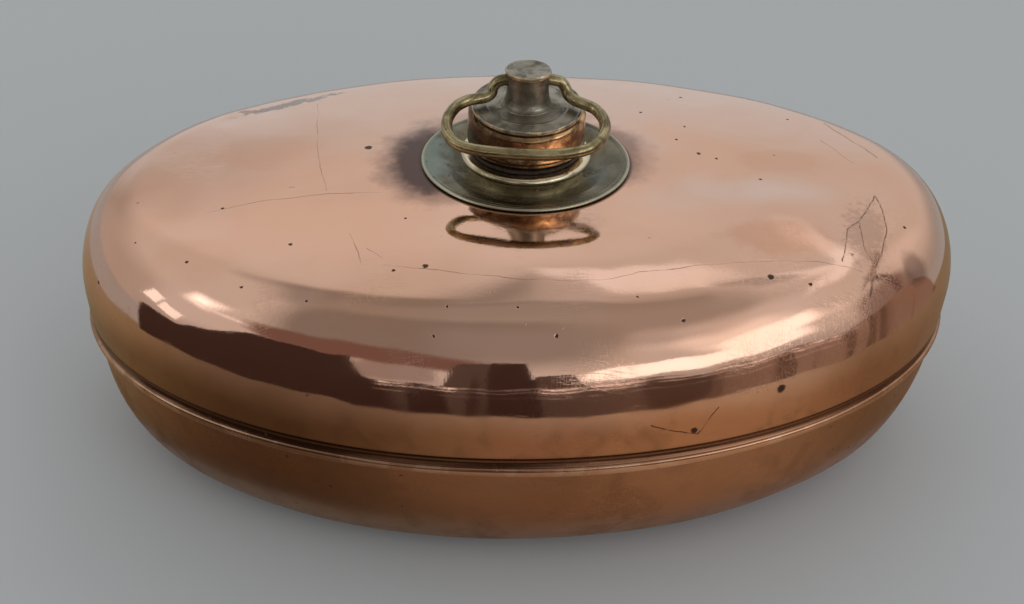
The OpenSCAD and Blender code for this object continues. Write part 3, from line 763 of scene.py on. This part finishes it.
def make_copper_pan():
    """Pan: from the middle of its base up its curved side, over the rim behind the bead and down inside again."""
    rows = 60
    rim = rows_of([pan_o, pan_o + sheet_t], seam_z + lap_h)
    points = oval_rings(np.concatenate([pan_rows(0.0, rows)[::-1], rim, pan_rows(sheet_t, 24)]))
    p = points[:rows]
    off_floor = above(p, 1, 6) * ease((seam_z - 2 - p[..., 2]) / 5)
    knocks = [(-30, -90, 22, 10, 0.3), (60, -80, 25, 8, 0.25), (110, 40, 20, 9, 0.3), (-70, 70, 18, 10, 0.3)]
    moved = (waves(p, 30, 0.6, 21) - 0.28 - dents(p, knocks)) * off_floor
    points[:rows] += outward_of(points, 40)[:rows] * moved[..., None]
    return piece("copper_pan", points, "vessel", "lower_pan", copper_pan, closed=False, crease=50)


# Neck

def dish_z(r):
    """Height of the flange's upper face: the edge's height less half the dish depth times 1 - cos of 180 degrees
    times the share of the way in."""
    share = np.clip((hole_r - flange_t - r) / (hole_r - flange_t - neck_r), 0, 1)
    return flange_z - dish_depth * (1 - np.cos(np.pi * share)) / 2


def make_flange():
    """Dished flange with a thin raised lip round its edge."""
    rows, edge_r = 60, 0.5
    start_r, end_r = neck_r + touch, flange_r - edge_r
    r = np.linspace(start_r, end_r, rows)
    lip = 0.24 * ease((r - flange_r + 1.1) / 0.5) + 0.13 * np.exp(-((r - flange_r + 1.8) / 0.22) ** 2)
    groove = 0.10 * np.exp(-((r - flange_r + 2.5) / 0.35) ** 2)
    a = np.radians(np.linspace(90, -90, 9)[1:-1])
    edge = np.stack([end_r + edge_r * np.cos(a), seat_z + edge_r + edge_r * np.sin(a)], -1)
    back = np.linspace(end_r, start_r, 40)
    outline = np.concatenate([np.stack([r, dish_z(r) + lip - groove], -1), edge,
                              np.stack([back, dish_z(back) - flange_t], -1)])
    points = turned(outline, wide_cols)
    top = (np.arange(len(outline)) < rows)[:, None] * beyond(points, neck_r + 1, 3)
    points[..., 2] += waves(points, 16, 0.16, 31) * top
    return piece("dished_flange", points, "vessel", "neck_flange", flange_brass)


def thread(points, low, high):
    """Thread relief at each point: its depth times a rounded tooth of the height less the helix's rise
    at that angle, faded at both ends."""
    turn = np.arctan2(points[..., 1], points[..., 0]) / (2 * np.pi)
    tooth = 0.5 - 0.5 * np.cos(2 * np.pi * (points[..., 2] / thread_pitch - turn))
    fade = above(points, low, thread_pitch) * ease((high - points[..., 2]) / thread_pitch)
    return thread_depth * ease(tooth * 1.5 - 0.25) * fade


def make_neck_ring():
    """Neck ring: a threaded bore, a plain outer wall and a rolled rim."""
    half = rim_h / 2
    roll = neck_r + rim_out - half
    a = np.radians(np.linspace(-80, 90, 16))
    rim = np.stack([roll + half * np.cos(a), rim_z + half + half * np.sin(a)], -1)
    neck = [(bore_r, neck_bot), (neck_r - 0.3, neck_bot), (neck_r, neck_bot + 0.3), (neck_r, rim_z - 0.2),
            (neck_r + 0.5, rim_z)]
    mouth = [(bore_r + 1.4, rim_top), (bore_r + 0.5, rim_top - 0.3), (bore_r, rim_top - 1.2)]
    outline = refined(np.concatenate([neck, rim, mouth]), 0.22)
    points = turned(outline, turned_cols)
    in_bore = outline[:, 0] < bore_r + 0.01
    relief = thread(points, neck_bot, rim_top - 1.0) * in_bore[:, None]
    points = pushed_out(points, relief + (waves(points, 9, 0.12, 41) - 0.05) * above(points, rim_z - 0.1, 0.5))
    return piece("threaded_neck", points, "vessel", "neck_ring", rim_brass)


def make_leather_washer():
    """Leather washer: a flat ring with a bulging, uneven edge."""
    inside, outside = plug_r + 0.35, plug_r + 0.3 + washer_w
    top = washer_z + washer_t
    corners = [(inside, washer_z), (outside, washer_z), (outside, top), (inside, top)]
    points = turned(refined(rounded(corners, [0.2, 0.5, 0.5, 0.2]), 0.25), washer_cols)
    points = pushed_out(points, (waves(points, 5, 0.35, 51) - 0.1) * beyond(points, inside + 1, 1))
    return piece("leather_washer", points, "washers", "sealing_washer", old_leather)


# Stopper

def make_plug():
    """Plug: a hollow threaded skirt, the plate across it and the hub that carries the crown."""
    inner, hole, hub_top = plug_r - skirt_wall, shank_r + touch, crown_z - 0.05
    thread_top = drum_z - 1.6
    outline = refined(rounded([
        (hole, plate_z), (inner, plate_z), (inner, plug_bot), (plug_r, plug_bot), (plug_r, drum_z), (hub_r, drum_z),
        (hub_r, hub_top), (hole, hub_top)], [0.1, 0.8, 0.4, 0.6, 0.15, 0.4, 0.2, 0.1]), 0.22)
    points = turned(outline, turned_cols)
    threaded = (outline[:, 0] > plug_r - 0.05) & (outline[:, 1] < thread_top)
    points = pushed_out(points, -thread(points, plug_bot + 0.3, thread_top) * threaded[:, None])
    return piece("threaded_plug", points, "stopper", "stopper_plug", plug_brass)


def leaned(points, share):
    """The stopper's top leans forward: each point rises by lean times its y times its share."""
    points[..., 2] += lean * points[..., 1] * share
    return points


def make_drum():
    """Drum: a sheet copper wall with a rounded foot and brow, knocked a little out of round
    and leaning at its top."""
    k = np.linspace(0, np.pi / 2, 12)
    brow_r, brow_z = crown_r - 0.1, drum_z + drum_h - 1.25 - brow_h

    def side(t):
        """Foot and brow moved in by t, each a quarter of an ellipse."""
        foot = np.stack([foot_r + (drum_r - foot_r) * np.sin(k) - t,
                         drum_z + touch + t + (foot_h - t) * (1 - np.cos(k))], -1)
        brow = np.stack([brow_r + (drum_r - brow_r - t) * np.cos(k), brow_z + (brow_h - t) * np.sin(k)], -1)
        return np.concatenate([foot, brow])
    inner = hub_r + touch
    outline = np.concatenate([[(inner, drum_z + touch)], side(0.0), side(drum_t)[::-1],
                              [(inner, drum_z + drum_t)]])
    points = turned(refined(outline, 0.45), wide_cols)
    knocks = [(-6, -18, 108, 4, 0.35), (12, -15, 106, 3, 0.25), (17, 8, 108, 4, 0.35), (-17, 7, 107, 4, 0.3),
              (8, -18, 111, 2.5, 0.14)]
    shape = waves(points, 11, 0.42, 61) + waves(points, 3.5, 0.07, 62) - 0.2 - dents(points, knocks)
    shape *= above(points, drum_z + 2, 3) * beyond(points, drum_r - 2.4, 0.8)
    points = leaned(pushed_out(points, shape), above(points, drum_z + 3, 7))
    return piece("copper_drum", points, "stopper", "stopper_drum", drum_copper)


def make_crown():
    """Crown: a turned disc that leans forward, with a thin lip painted bright as a highlight, shallow rings and a flare
    up to the post's foot."""
    hole, edge = shank_r + touch, crown_r + 0.25
    profile = [(hole, crown_z + touch - crown_top - 0.15), (edge - 1.2, crown_z + 0.1 - crown_top - 0.15),
               (edge - 0.25, -1.35), (edge, -0.85), (edge, -0.25), (edge - 0.25, 0), (edge - 0.75, 0.02),
               (edge - 1.15, -0.28), (edge - 1.7, -0.24), (edge - 4.0, 0.10), (edge - 4.6, 0.26), (edge - 5.0, 0.06),
               (edge - 5.5, 0.02), (edge - 7.8, 0.30), (9.0, 0.42), (8.6, 0.72), (8.0, 0.62), (hole, 0.5)]
    profile = np.array(profile) + [0, crown_top + 0.15]
    points = turned(refined(rounded(profile, 0.22, 4), 0.26), turned_cols)
    upper = above(points, crown_top - 1.0, 0.5)
    points[..., 2] += (waves(points, 6, 0.12, 71) + waves(points, 2.6, 0.05, 73)) * upper
    rim = beyond(points, edge - 0.9, 0.5) * upper
    points = leaned(pushed_out(points, (waves(points, 7, 0.25, 72) - 0.1) * rim), 1.0)
    return piece("turned_crown", points, "stopper", "stopper_crown", dark_bronze, crease=28)


def make_post():
    """Post: a turned column on a flared foot with a dented, spread head, its shank and the riveted end,
    cut through by the bail's hole."""
    base, lip, top = crown_top - 0.3, post_top - head_h, post_top
    under = burr_z - touch
    profile = np.array([
        (0.02, under - 1.2), (4.2, under - 1.2), (4.8, under - 0.6), (4.8, under), (shank_r, under), (shank_r, base),
        (8.3, base), (8.5, base + 0.7), (8.3, base + 1.15), (7.7, base + 1.45), (7.35, base + 2.0),
        (post_r + 0.15, base + 3.0), (post_r - 0.12, base + 5.5), (post_r - 0.15, lip - 2.2), (post_r + 0.1, lip - 0.7),
        (head_r - 0.1, lip - 0.15), (head_r + 0.1, lip + 0.15), (head_r + 0.12, top - 0.75), (head_r - 0.3, top - 0.2),
        (head_r - 1.3, top - 0.02), (head_r - 2.6, top - 0.12), (0.02, top - 0.3)])
    way = lengths_along(profile)
    places = np.unique(np.concatenate([way, np.linspace(0, way[-1], 240)]))
    points = turned(at_lengths(profile, way, places), post_cols)
    far = radius_of(points)
    column = waves(points, 7, 0.2, 81) * above(points, base + 0.5, 1.5)
    head = (waves(points, 3.2, 0.32, 82) - 0.14) * above(points, lip - 0.6, 0.9)
    points = pushed_out(points, (column + head) * beyond(points, 5, 1.5))
    knocks = [(1.8, 1.2, top, 2.3, 0.45), (-2.8, -1.5, top, 1.7, 0.24), (3.6, -2.8, top, 1.2, 0.2),
              (-3.5, 3.0, top, 1.6, 0.25), (0.5, -4.9, top, 1.1, 0.25), (-5.4, 0.4, top, 1.2, 0.25),
              (5.6, 1.4, top, 1.1, 0.2)]
    from_curl = points - [1.0, 1.0, 0]
    turn = np.arctan2(from_curl[..., 1], from_curl[..., 0])
    curl = 0.10 * np.sin(2.4 * radius_of(from_curl) - turn) * ease((6.4 - far) / 2)
    points[..., 2] -= (dents(points, knocks) + curl + 0.08) * above(points, top - 1.0, 0.5)
    foot = above(points, base - 0.3, 0.2) * (1 - above(points, base + 1, 5))
    post = piece("hammered_post", leaned(points, foot), "stopper", "handle_post", dark_bronze,
                 closed=False)
    return cut_hole(post, wire_r + pin_clear + 0.25)


def cut_hole(post, radius, sides=48, reach=12):
    """The post less a round bar along X at the bail's axis."""
    a = np.linspace(0, 2 * np.pi, sides, endpoint=False)
    ring = np.stack([0 * a, radius * np.cos(a), pivot_z + radius * np.sin(a)], -1)
    bar = bpy.data.meshes.new("bar")
    ends = np.concatenate([ring + [-reach, 0, 0], ring + [reach, 0, 0]])
    j, k = np.arange(sides), (np.arange(sides) + 1) % sides
    around = np.stack([j, k, k + sides, j + sides], -1).tolist()
    bar.from_pydata((ends * 0.001).tolist(), [], around + [j[::-1].tolist(), (j + sides).tolist()])
    cutter = in_scene(bpy.data.objects.new("bar", bar))
    cut = post.modifiers.new("hole", "BOOLEAN")
    cut.operation, cut.solver, cut.object = "DIFFERENCE", "EXACT", cutter
    mesh = bpy.data.meshes.new_from_object(post.evaluated_get(bpy.context.evaluated_depsgraph_get()))
    post.modifiers.clear()
    old, post.data = post.data, mesh
    mesh.name = "hammered_post"
    bpy.data.meshes.remove(old)
    bpy.data.objects.remove(cutter)
    bpy.data.meshes.remove(bar)
    return post


def smooth_loop(points, count):
    """Closed curve through the points, and the distance along it of each of its own: on each stretch the cubic
    0.5 (2B + (C - A) t + (2A - 5B + 4C - D) t^2 + (3B - A - 3C + D) t^3)."""
    p = np.asarray(points, float)
    a, b, c, d = (np.roll(p, k, 0)[:, None] for k in (1, 0, -1, -2))
    t = np.linspace(0, 1, 24, endpoint=False)[None, :, None]
    curve = 0.5 * (2 * b + (c - a) * t + (2 * a - 5 * b + 4 * c - d) * t ** 2 + (3 * b - a - 3 * c + d) * t ** 3)
    curve = curve.reshape(-1, p.shape[1])
    loop = np.concatenate([curve, curve[:1]])
    s = lengths_along(loop)
    places = np.linspace(0, s[-1], count, endpoint=False)
    return at_lengths(loop, s, places), places


# The bail's middle line in millimetres, from the post down its left arm, across in front and up its right arm
bail_line = [
    (-3.5, 0, 125.08), (-6.9, 0, 125.06), (-9.6, 0, 124.35), (-11.2, -0.1, 122.4), (-11.7, -0.5, 120.6),
    (-13.6, -1.3, 119.55), (-16.2, -1.9, 119.25), (-19.6, -2.9, 119.0), (-23.4, -6.2, 118.25), (-25.9, -12.2, 116.9),
    (-25.8, -18.7, 115.45), (-23.0, -23.4, 114.4), (-18.2, -25.9, 113.85), (-11.0, -27.3, 113.55),
    (-3.7, -28.2, 113.35), (4.2, -28.6, 113.3), (12.3, -27.6, 113.55), (18.1, -25.2, 114.1), (22.2, -19.8, 115.3),
    (23.4, -13.5, 116.75), (21.4, -8.0, 118.1), (17.8, -5.2, 118.85), (14.9, -3.3, 119.3), (12.9, -1.4, 120.3),
    (12.1, -0.3, 122.0), (10.4, 0, 124.1), (7.2, 0, 125.03), (3.5, 0, 125.08)]
bail_line_pivot = 125.08


def make_bail():
    """Bail: round wire carried along a hand-bent closed curve. It runs through the post, drops beside it and opens
    into a loop that lies forward over the crown's edge. The wire's section is drawn on two directions square
    to the curve."""
    path, along = smooth_loop(np.array(bail_line) + [0, 0, pivot_z - bail_line_pivot], 480)
    forward = unit(np.roll(path, -1, 0) - np.roll(path, 1, 0))
    open_part = ease(np.maximum((np.abs(path[:, 0]) - 14) / 6, (-path[:, 1] - 3) / 4))
    guide = np.stack([0 * open_part, 1 - open_part, open_part], -1)
    side = unit(np.cross(guide, forward))
    up = unit(np.cross(forward, side))
    b = np.linspace(0, 2 * np.pi, 28, endpoint=False)[None, :, None]
    s = along[:, None, None]
    loose = ease((np.abs(path[:, :1, None]) - 8.5) / 2 + ease((-path[:, 1:2, None] - 3) / 3))
    flats = 0.022 * np.cos(2 * b) ** 2 * (0.6 + 0.4 * np.sin(s / 23))
    worn = 0.012 * (1 + np.sin(s / 3.1) * np.cos(s / 7.3)) + flats
    radius = wire_r * (1 - loose * worn)
    points = path[:, None] + side[:, None] * radius * np.cos(b) + up[:, None] * radius * np.sin(b)
    points[..., 2] += loose[..., 0] * 0.12 * np.sin(along / 17.0)[:, None]
    lay = np.stack(np.broadcast_arrays(np.cos(b), np.sin(b), 1.6 * np.sin(s * np.pi / along[-1])), -1)[:, :, 0]
    return piece("wire_bail", points, "bail", "bail_handle", wire_brass, crease=60, wire=lay)


for make in (make_copper_shell, make_copper_pan, make_flange, make_neck_ring, make_leather_washer, make_plug,
             make_drum, make_crown, make_post, make_bail):
    make()
for node_name, finish in (("seam_solder", dull_solder), ("flange_solder", dull_solder),
                          ("neck_solder", dull_solder), ("backing_washer", plug_brass)):
    for held in cad[node_name].material_slots:
        held.material = finish


# Studio

def stage_object(name, vertices, faces, material):
    """A floor or card that is no part of the object. Its points come in metres."""
    mesh = bpy.data.meshes.new(name)
    mesh.from_pydata(np.asarray(vertices, float).tolist(), [], np.asarray(faces).tolist())
    mesh.materials.append(material)
    made = in_scene(bpy.data.objects.new(name, mesh))
    return made


def only_mirrored(card):
    """The card stands where the camera would see it, so only polished metal shows it."""
    card.visible_camera = card.visible_diffuse = card.visible_shadow = card.visible_transmission = False


def make_floor(edge=9.0, low=-0.0001):
    """A plain pale floor."""
    material, t, shader, place = start("pale_floor")
    t.feed(shader, {"Base Color": rgb(0.68, 0.73, 0.765), "Roughness": 0.9, "Specular IOR Level": 0.0})
    corners = [(edge * x, edge * y, low) for x, y in ((-1, -1), (1, -1), (1, 1), (-1, 1))]
    stage_object("floor", corners, [(0, 1, 2, 3)], material)


def round_the_body(out, height, turn_low, turn_high, count):
    """Points in metres on an ellipse out millimetres outside the body, at a height, from one bearing to the other."""
    a = np.radians(np.linspace(turn_low, turn_high, count))
    way = np.stack([np.cos(a), np.sin(a)], -1) * [half_l + out, half_w + out]
    return np.concatenate([way, np.broadcast_to(height, (count,))[:, None]], -1) * 0.001


def strip_faces(count):
    """Quads between two neighbouring rows of points."""
    j = np.arange(count - 1)
    return np.stack([j, j + 1, j + 1 + count, j + count], -1)


def bearing_of(t, place):
    """Degrees round the body from straight in front, positive to the right."""
    x, y = t.axis(place, 0), t.axis(place, 1)
    return t.times(t.math("ARCTAN2", x, t.times(y, -1.0)), 180 / np.pi)


def make_front_card(count=260, out=160):
    """A dark card that stands in front: a hill on the left, a stepped post near the middle, and browner and lighter
    to the right. Pale slats cross it under its upper edge."""
    material, t, shader, place = start("front_card")
    z = t.axis(place, 2)
    side = bearing_of(t, place)
    dark = rgb(0.085, 0.045, 0.034)
    colour = t.blend(t.smooth(side, 2.0, 58.0), dark, rgb(0.60, 0.42, 0.32))
    posts = t.smooth(t.noise(t.vector("MULTIPLY", place, (1.0, 1.0, 0.05)), 26.0, 2.0), 0.52, 0.58)
    lighter = t.times(t.smooth(side, -26.0, -20.0), t.rest(posts))
    colour = t.over(colour, lighter, 0.22, (0.55, 0.46, 0.42))
    colour = t.over(colour, t.times(posts, t.smooth(side, 10.0, 30.0)), 0.6, dark[:3])
    bent = t.plus(z, ((t.uneven(place, 14.0, 2.0), 0.010),))
    where = t.times(t.smooth(side, -28.0, -25.0), t.smooth(side, 66.0, 56.0))
    behind = t.times(t.smooth(side, -13.0, -11.0), t.smooth(side, 3.0, 1.0, 0.0, 0.75))
    where = t.times(where, t.rest(behind))
    broken = t.smooth(t.noise(t.vector("MULTIPLY", place, (1.0, 1.0, 6.0)), 46.0, 2.0), 0.40, 0.50)
    slats = reduce(t.most, (
        t.smooth(t.math("ABSOLUTE", t.math("SUBTRACT", bent, middle)), half * 1.3, half * 0.7, 0.0, strength)
        for middle, half, strength in ((0.0905, 0.0026, 1.0), (0.0815, 0.0013, 0.8), (0.0660, 0.0010, 0.3))))
    clear = t.times(where, t.smooth(posts, 1.0, 0.0, 0.5, 1.0))
    slats = t.times(t.times(slats, broken), clear)
    colour = t.blend(slats, colour, rgb(1.0, 0.93, 0.88))
    t.feed(shader, {"Base Color": colour, "Roughness": 0.9, "Emission Strength": 1.0,
                    "Emission Color": t.blend(slats, rgb(0, 0, 0), rgb(0.62, 0.57, 0.55))})
    turn = np.linspace(-76, 94, count)
    tall = (96 - 10 * ease((-60 - turn) / 4) + 68 * ease((turn + 63) / 20) * ease((-24 - turn) / 6)
            + 84 * ease((turn + 12) / 2) * ease((1 - turn) / 1.5) + 34 * ease(turn / 1.5) * ease((8 - turn) / 2)
            + 3.5 * np.sin(turn / 2.3) * ease(turn / 10) - 80 * ease((turn - 82) / 12))
    foot = 3 + 13 * ease((-25 - turn) / 5) + 10 * ease((turn - 26) / 5)
    rows = [round_the_body(out, height, turn[0] + 270, turn[-1] + 270, count) for height in (foot, tall)]
    only_mirrored(stage_object("front_card", np.concatenate(rows), strip_faces(count), material))


def make_ground_card(count=240):
    """A card laid round the body that colours the floor in its mirror image: dark front left, warm and pale front
    right, brown at both ends. Each colour comes with the bearings between which it fades in."""
    material, t, shader, place = start("ground_card")
    side = bearing_of(t, place)
    colour = rgb(0.24, 0.175, 0.115)
    for low, high, tint in ((-44.0, -6.0, (0.61, 0.51, 0.41)), (4.0, 26.0, (0.84, 0.71, 0.55)),
                            (42.0, 70.0, (0.43, 0.34, 0.22)), (-54.0, -86.0, (0.50, 0.40, 0.24)),
                            (-98.0, -130.0, (0.66, 0.58, 0.46))):
        colour = t.blend(t.smooth(side, low, high), colour, rgb(*tint))
    t.feed(shader, {"Base Color": colour, "Roughness": 0.9})
    rings = [round_the_body(out, 0.6, 110, 450, count) for out in (3, 60, 159, 260)]
    faces = np.concatenate([strip_faces(count) + count * k for k in range(3)])
    only_mirrored(stage_object("ground_card", np.concatenate(rings), faces, material))


def patch_pattern(t, way, ahead, across, up, soft):
    """A soft-edged patch on the room's walls: the direction's slopes across and up from the patch's middle, in units
    of its half width and half height, measured as the fourth root of their fourth powers."""
    depth = t.most(t.measure("DOT_PRODUCT", way, ahead), 0.02)
    along, rising = (t.math("POWER", t.math("ABSOLUTE", t.math(
        "DIVIDE", t.measure("DOT_PRODUCT", way, side), depth)), 4.0) for side in (across, up))
    return t.spot(t.math("POWER", t.math("ADD", along, rising), 0.25), soft)


def toward(bearing, rise_up, turn):
    """Unit vectors ahead, across and up for a direction given by its bearing from the front, positive to the right,
    and its rise, with across and up turned about it by an angle."""
    b, e, k = np.radians([bearing, rise_up, turn])
    ahead = np.array([np.sin(b) * np.cos(e), -np.cos(b) * np.cos(e), np.sin(e)])
    across = np.array([np.cos(b), np.sin(b), 0.0])
    up = -np.cross(across, ahead)
    return ahead, np.cos(k) * across + np.sin(k) * up, np.cos(k) * up - np.sin(k) * across


def slope(angle):
    """Tangent of an angle in degrees."""
    return np.tan(np.radians(angle))


# Soft patches of the room, each as bearing, rise, half width, half height in degrees, lean, softness and colour
room_patches = [
    (20, 80, 27, 24, 0, 0.35, (0.335, 0.32, 0.305)),
    (26, 62, 30, 21, 0, 0.5, (0.37, 0.355, 0.34)),
    (-28, 54, 21, 23, 0, 0.25, (0.25, 0.235, 0.22)),
    (5, 46, 13, 20, 0, 0.6, (0.30, 0.285, 0.275)),
    (62, 44, 17, 9, 0, 0.6, (0.68, 0.67, 0.66)),
    (-168, 34, 22, 12, 0, 0.6, (0.70, 0.68, 0.66)),
    (108, 27, 9, 8, 0, 0.6, (0.72, 0.71, 0.70)),
    (-145, 14, 24, 15, 0, 0.7, (0.38, 0.35, 0.33)),
    (-108, 8, 26, 16, 0, 0.7, (0.45, 0.42, 0.39)),
    (-77, 20, 9, 12, 0, 0.7, (0.62, 0.61, 0.61)),
    (-76, 31, 4.2, 5.0, 0, 0.8, (1.75, 1.77, 1.80)),
    (-62, 29, 11, 1.2, 2, 0.8, (0.95, 0.93, 0.92)),
    (-23, 17, 9, 9, 0, 0.2, (0.32, 0.285, 0.28)),
    (-32, 31, 23, 7.0, -5, 0.22, (0.185, 0.115, 0.10)),
    (84, 9, 11, 12, 0, 0.3, (0.26, 0.21, 0.19)),
    (89, 16, 1.6, 15, -8, 0.3, (0.13, 0.09, 0.08)),
    (100, 33, 17, 1.1, 22, 0.4, (0.24, 0.18, 0.16)),
    (140, 55, 20, 3.6, 10, 0.3, (0.90, 0.91, 0.92)),
    (128, 55, 8, 3.5, 0, 0.4, (0.43, 0.41, 0.40)),
    (118, 45, 22, 2.4, -10, 0.4, (0.95, 0.96, 0.97)),
    (180, 10, 30, 14, 0, 0.6, (0.62, 0.69, 0.74)),
    (-160, 66, 13, 8, 0, 0.6, (0.28, 0.265, 0.25)),
    (152, 67, 10, 5, 0, 0.7, (0.52, 0.51, 0.50)),
    (50, 33, 13, 9.0, 14, 0.5, (1.05, 1.04, 1.02)),
    (54, 27, 14, 6.5, 8, 0.28, (1.55, 1.55, 1.54)),
    (36, 16.5, 25, 5.6, 5, 0.15, (1.55, 1.56, 1.57)),
]


def make_world():
    """A plain room, darker low down and overhead, with soft darker and lighter patches."""
    world = bpy.data.worlds.new("room")
    world.use_nodes = True
    bpy.context.scene.world = world
    t = Tree(world.node_tree)
    way = t.add("ShaderNodeTexCoord").outputs["Generated"]
    z = t.axis(way, 2)
    colour = t.blend(t.smooth(z, 0.02, 0.30), rgb(0.40, 0.39, 0.38), rgb(0.61, 0.595, 0.575))
    colour = t.blend(t.smooth(z, 0.865, 0.94), colour, rgb(0.30, 0.287, 0.275))
    patch = mask_group("wall_patch", patch_pattern, Ahead=(0, 1, 0), Across=(1, 0, 0), Up=(0, 0, 1), Soft=0.2)
    for bearing, rise_up, wide, tall, turn, soft, tint in room_patches:
        ahead, across, up = toward(bearing, rise_up, turn)
        inside = t.mask(patch, way, Ahead=tuple(ahead), Across=tuple(across / slope(wide)),
                        Up=tuple(up / slope(tall)), Soft=soft)
        colour = t.blend(inside, colour, rgb(*tint))
    t.feed(t.tree.nodes["Background"], {"Color": colour, "Strength": 1.0})


# The middle of the body's top half, which lamps and panes face, in metres
faced_middle = np.array([0, 0, 0.085])


def set_up(made, across, up, back, place):
    """Adds a lamp or the camera to the scene at a place, with its own axes along the three vectors."""
    rows = [[across[k], up[k], back[k], place[k]] for k in range(3)]
    in_scene(made).matrix_world = Matrix(rows + [[0, 0, 0, 1]])
    return made


def make_lamp(name, bearing, rise_up, wide, tall, turn, level, colour, away=1.3):
    """A soft rectangular lamp that shines as a patch of the room would: its half width and half height in degrees,
    its brightness as a level. Polished metal doesn't show it."""
    ahead, across, up = toward(bearing, rise_up, turn)
    light = bpy.data.lights.new(name, "AREA")
    light.shape = "RECTANGLE"
    light.size, light.size_y = 2 * away * slope(wide), 2 * away * slope(tall)
    light.energy, light.color = level * np.pi * light.size * light.size_y, colour
    made = set_up(bpy.data.objects.new(name, light), across, up, ahead, faced_middle + ahead * away)
    made.visible_camera = made.visible_glossy = False


def make_pane(name, bearing, rise_up, wide, tall, turn, level, away=0.9):
    """A window pane that only polished metal shows, as a flat card that shines: its half width and half height
    in degrees, its brightness as a level."""
    material, t, shader, place = start(name)
    t.feed(shader, {"Base Color": rgb(0, 0, 0), "Emission Color": rgb(0.97, 0.99, 1.0), "Emission Strength": level})
    ahead, across, up = toward(bearing, rise_up, turn)
    across, up = across * slope(wide), up * slope(tall)
    middle = faced_middle + ahead * away
    corners = [middle + away * (a * across + b * up) for a, b in ((-1, -1), (1, -1), (1, 1), (-1, 1))]
    only_mirrored(stage_object(name, corners, [(0, 1, 2, 3)], material))


def make_camera():
    """The photograph's view: 36 degrees down, turned 4.1 degrees and tipped 1.6, from 386.5 mm off the body's
    middle, with a focal length of 1050 pixels in a frame 1024 pixels wide."""
    down, turn, tip = np.radians([36, -4.1, 1.6])
    distance, middle, sensor = 386.5, np.array([-3.2, 0, 37.2]), 36
    forward = np.array([0, np.cos(down), -np.sin(down)])
    right = np.array([1.0, 0, 0])
    up = np.cross(right, forward)
    right, up = np.cos(tip) * right + np.sin(tip) * up, -np.sin(tip) * right + np.cos(tip) * up
    place = middle - distance * forward
    swing = np.array([[np.cos(turn), -np.sin(turn), 0], [np.sin(turn), np.cos(turn), 0], [0, 0, 1]])
    camera = bpy.data.objects.new("camera", bpy.data.cameras.new("camera"))
    set_up(camera, swing @ right, swing @ up, swing @ -forward, swing @ place * 0.001)
    camera.data.lens = 1050 / 1024 * sensor
    camera.data.clip_start, camera.data.clip_end = 0.01, 100
    bpy.context.scene.camera = camera


make_floor()
make_front_card()
make_ground_card()
make_world()
make_lamp("right_window", 44, 18, 12, 4.5, 6, 1.3, (1.0, 0.99, 0.97))
make_lamp("left_lamp", -76, 31, 1.8, 1.8, 0, 2.2, (0.97, 0.99, 1.0))
make_pane("left_pane", -83, 10, 2.3, 3.8, -10, 1.25)
make_pane("right_pane", -76, 7.5, 4.0, 3.0, -12, 1.2)
make_camera()
bpy.context.scene.view_settings.view_transform = "Standard"
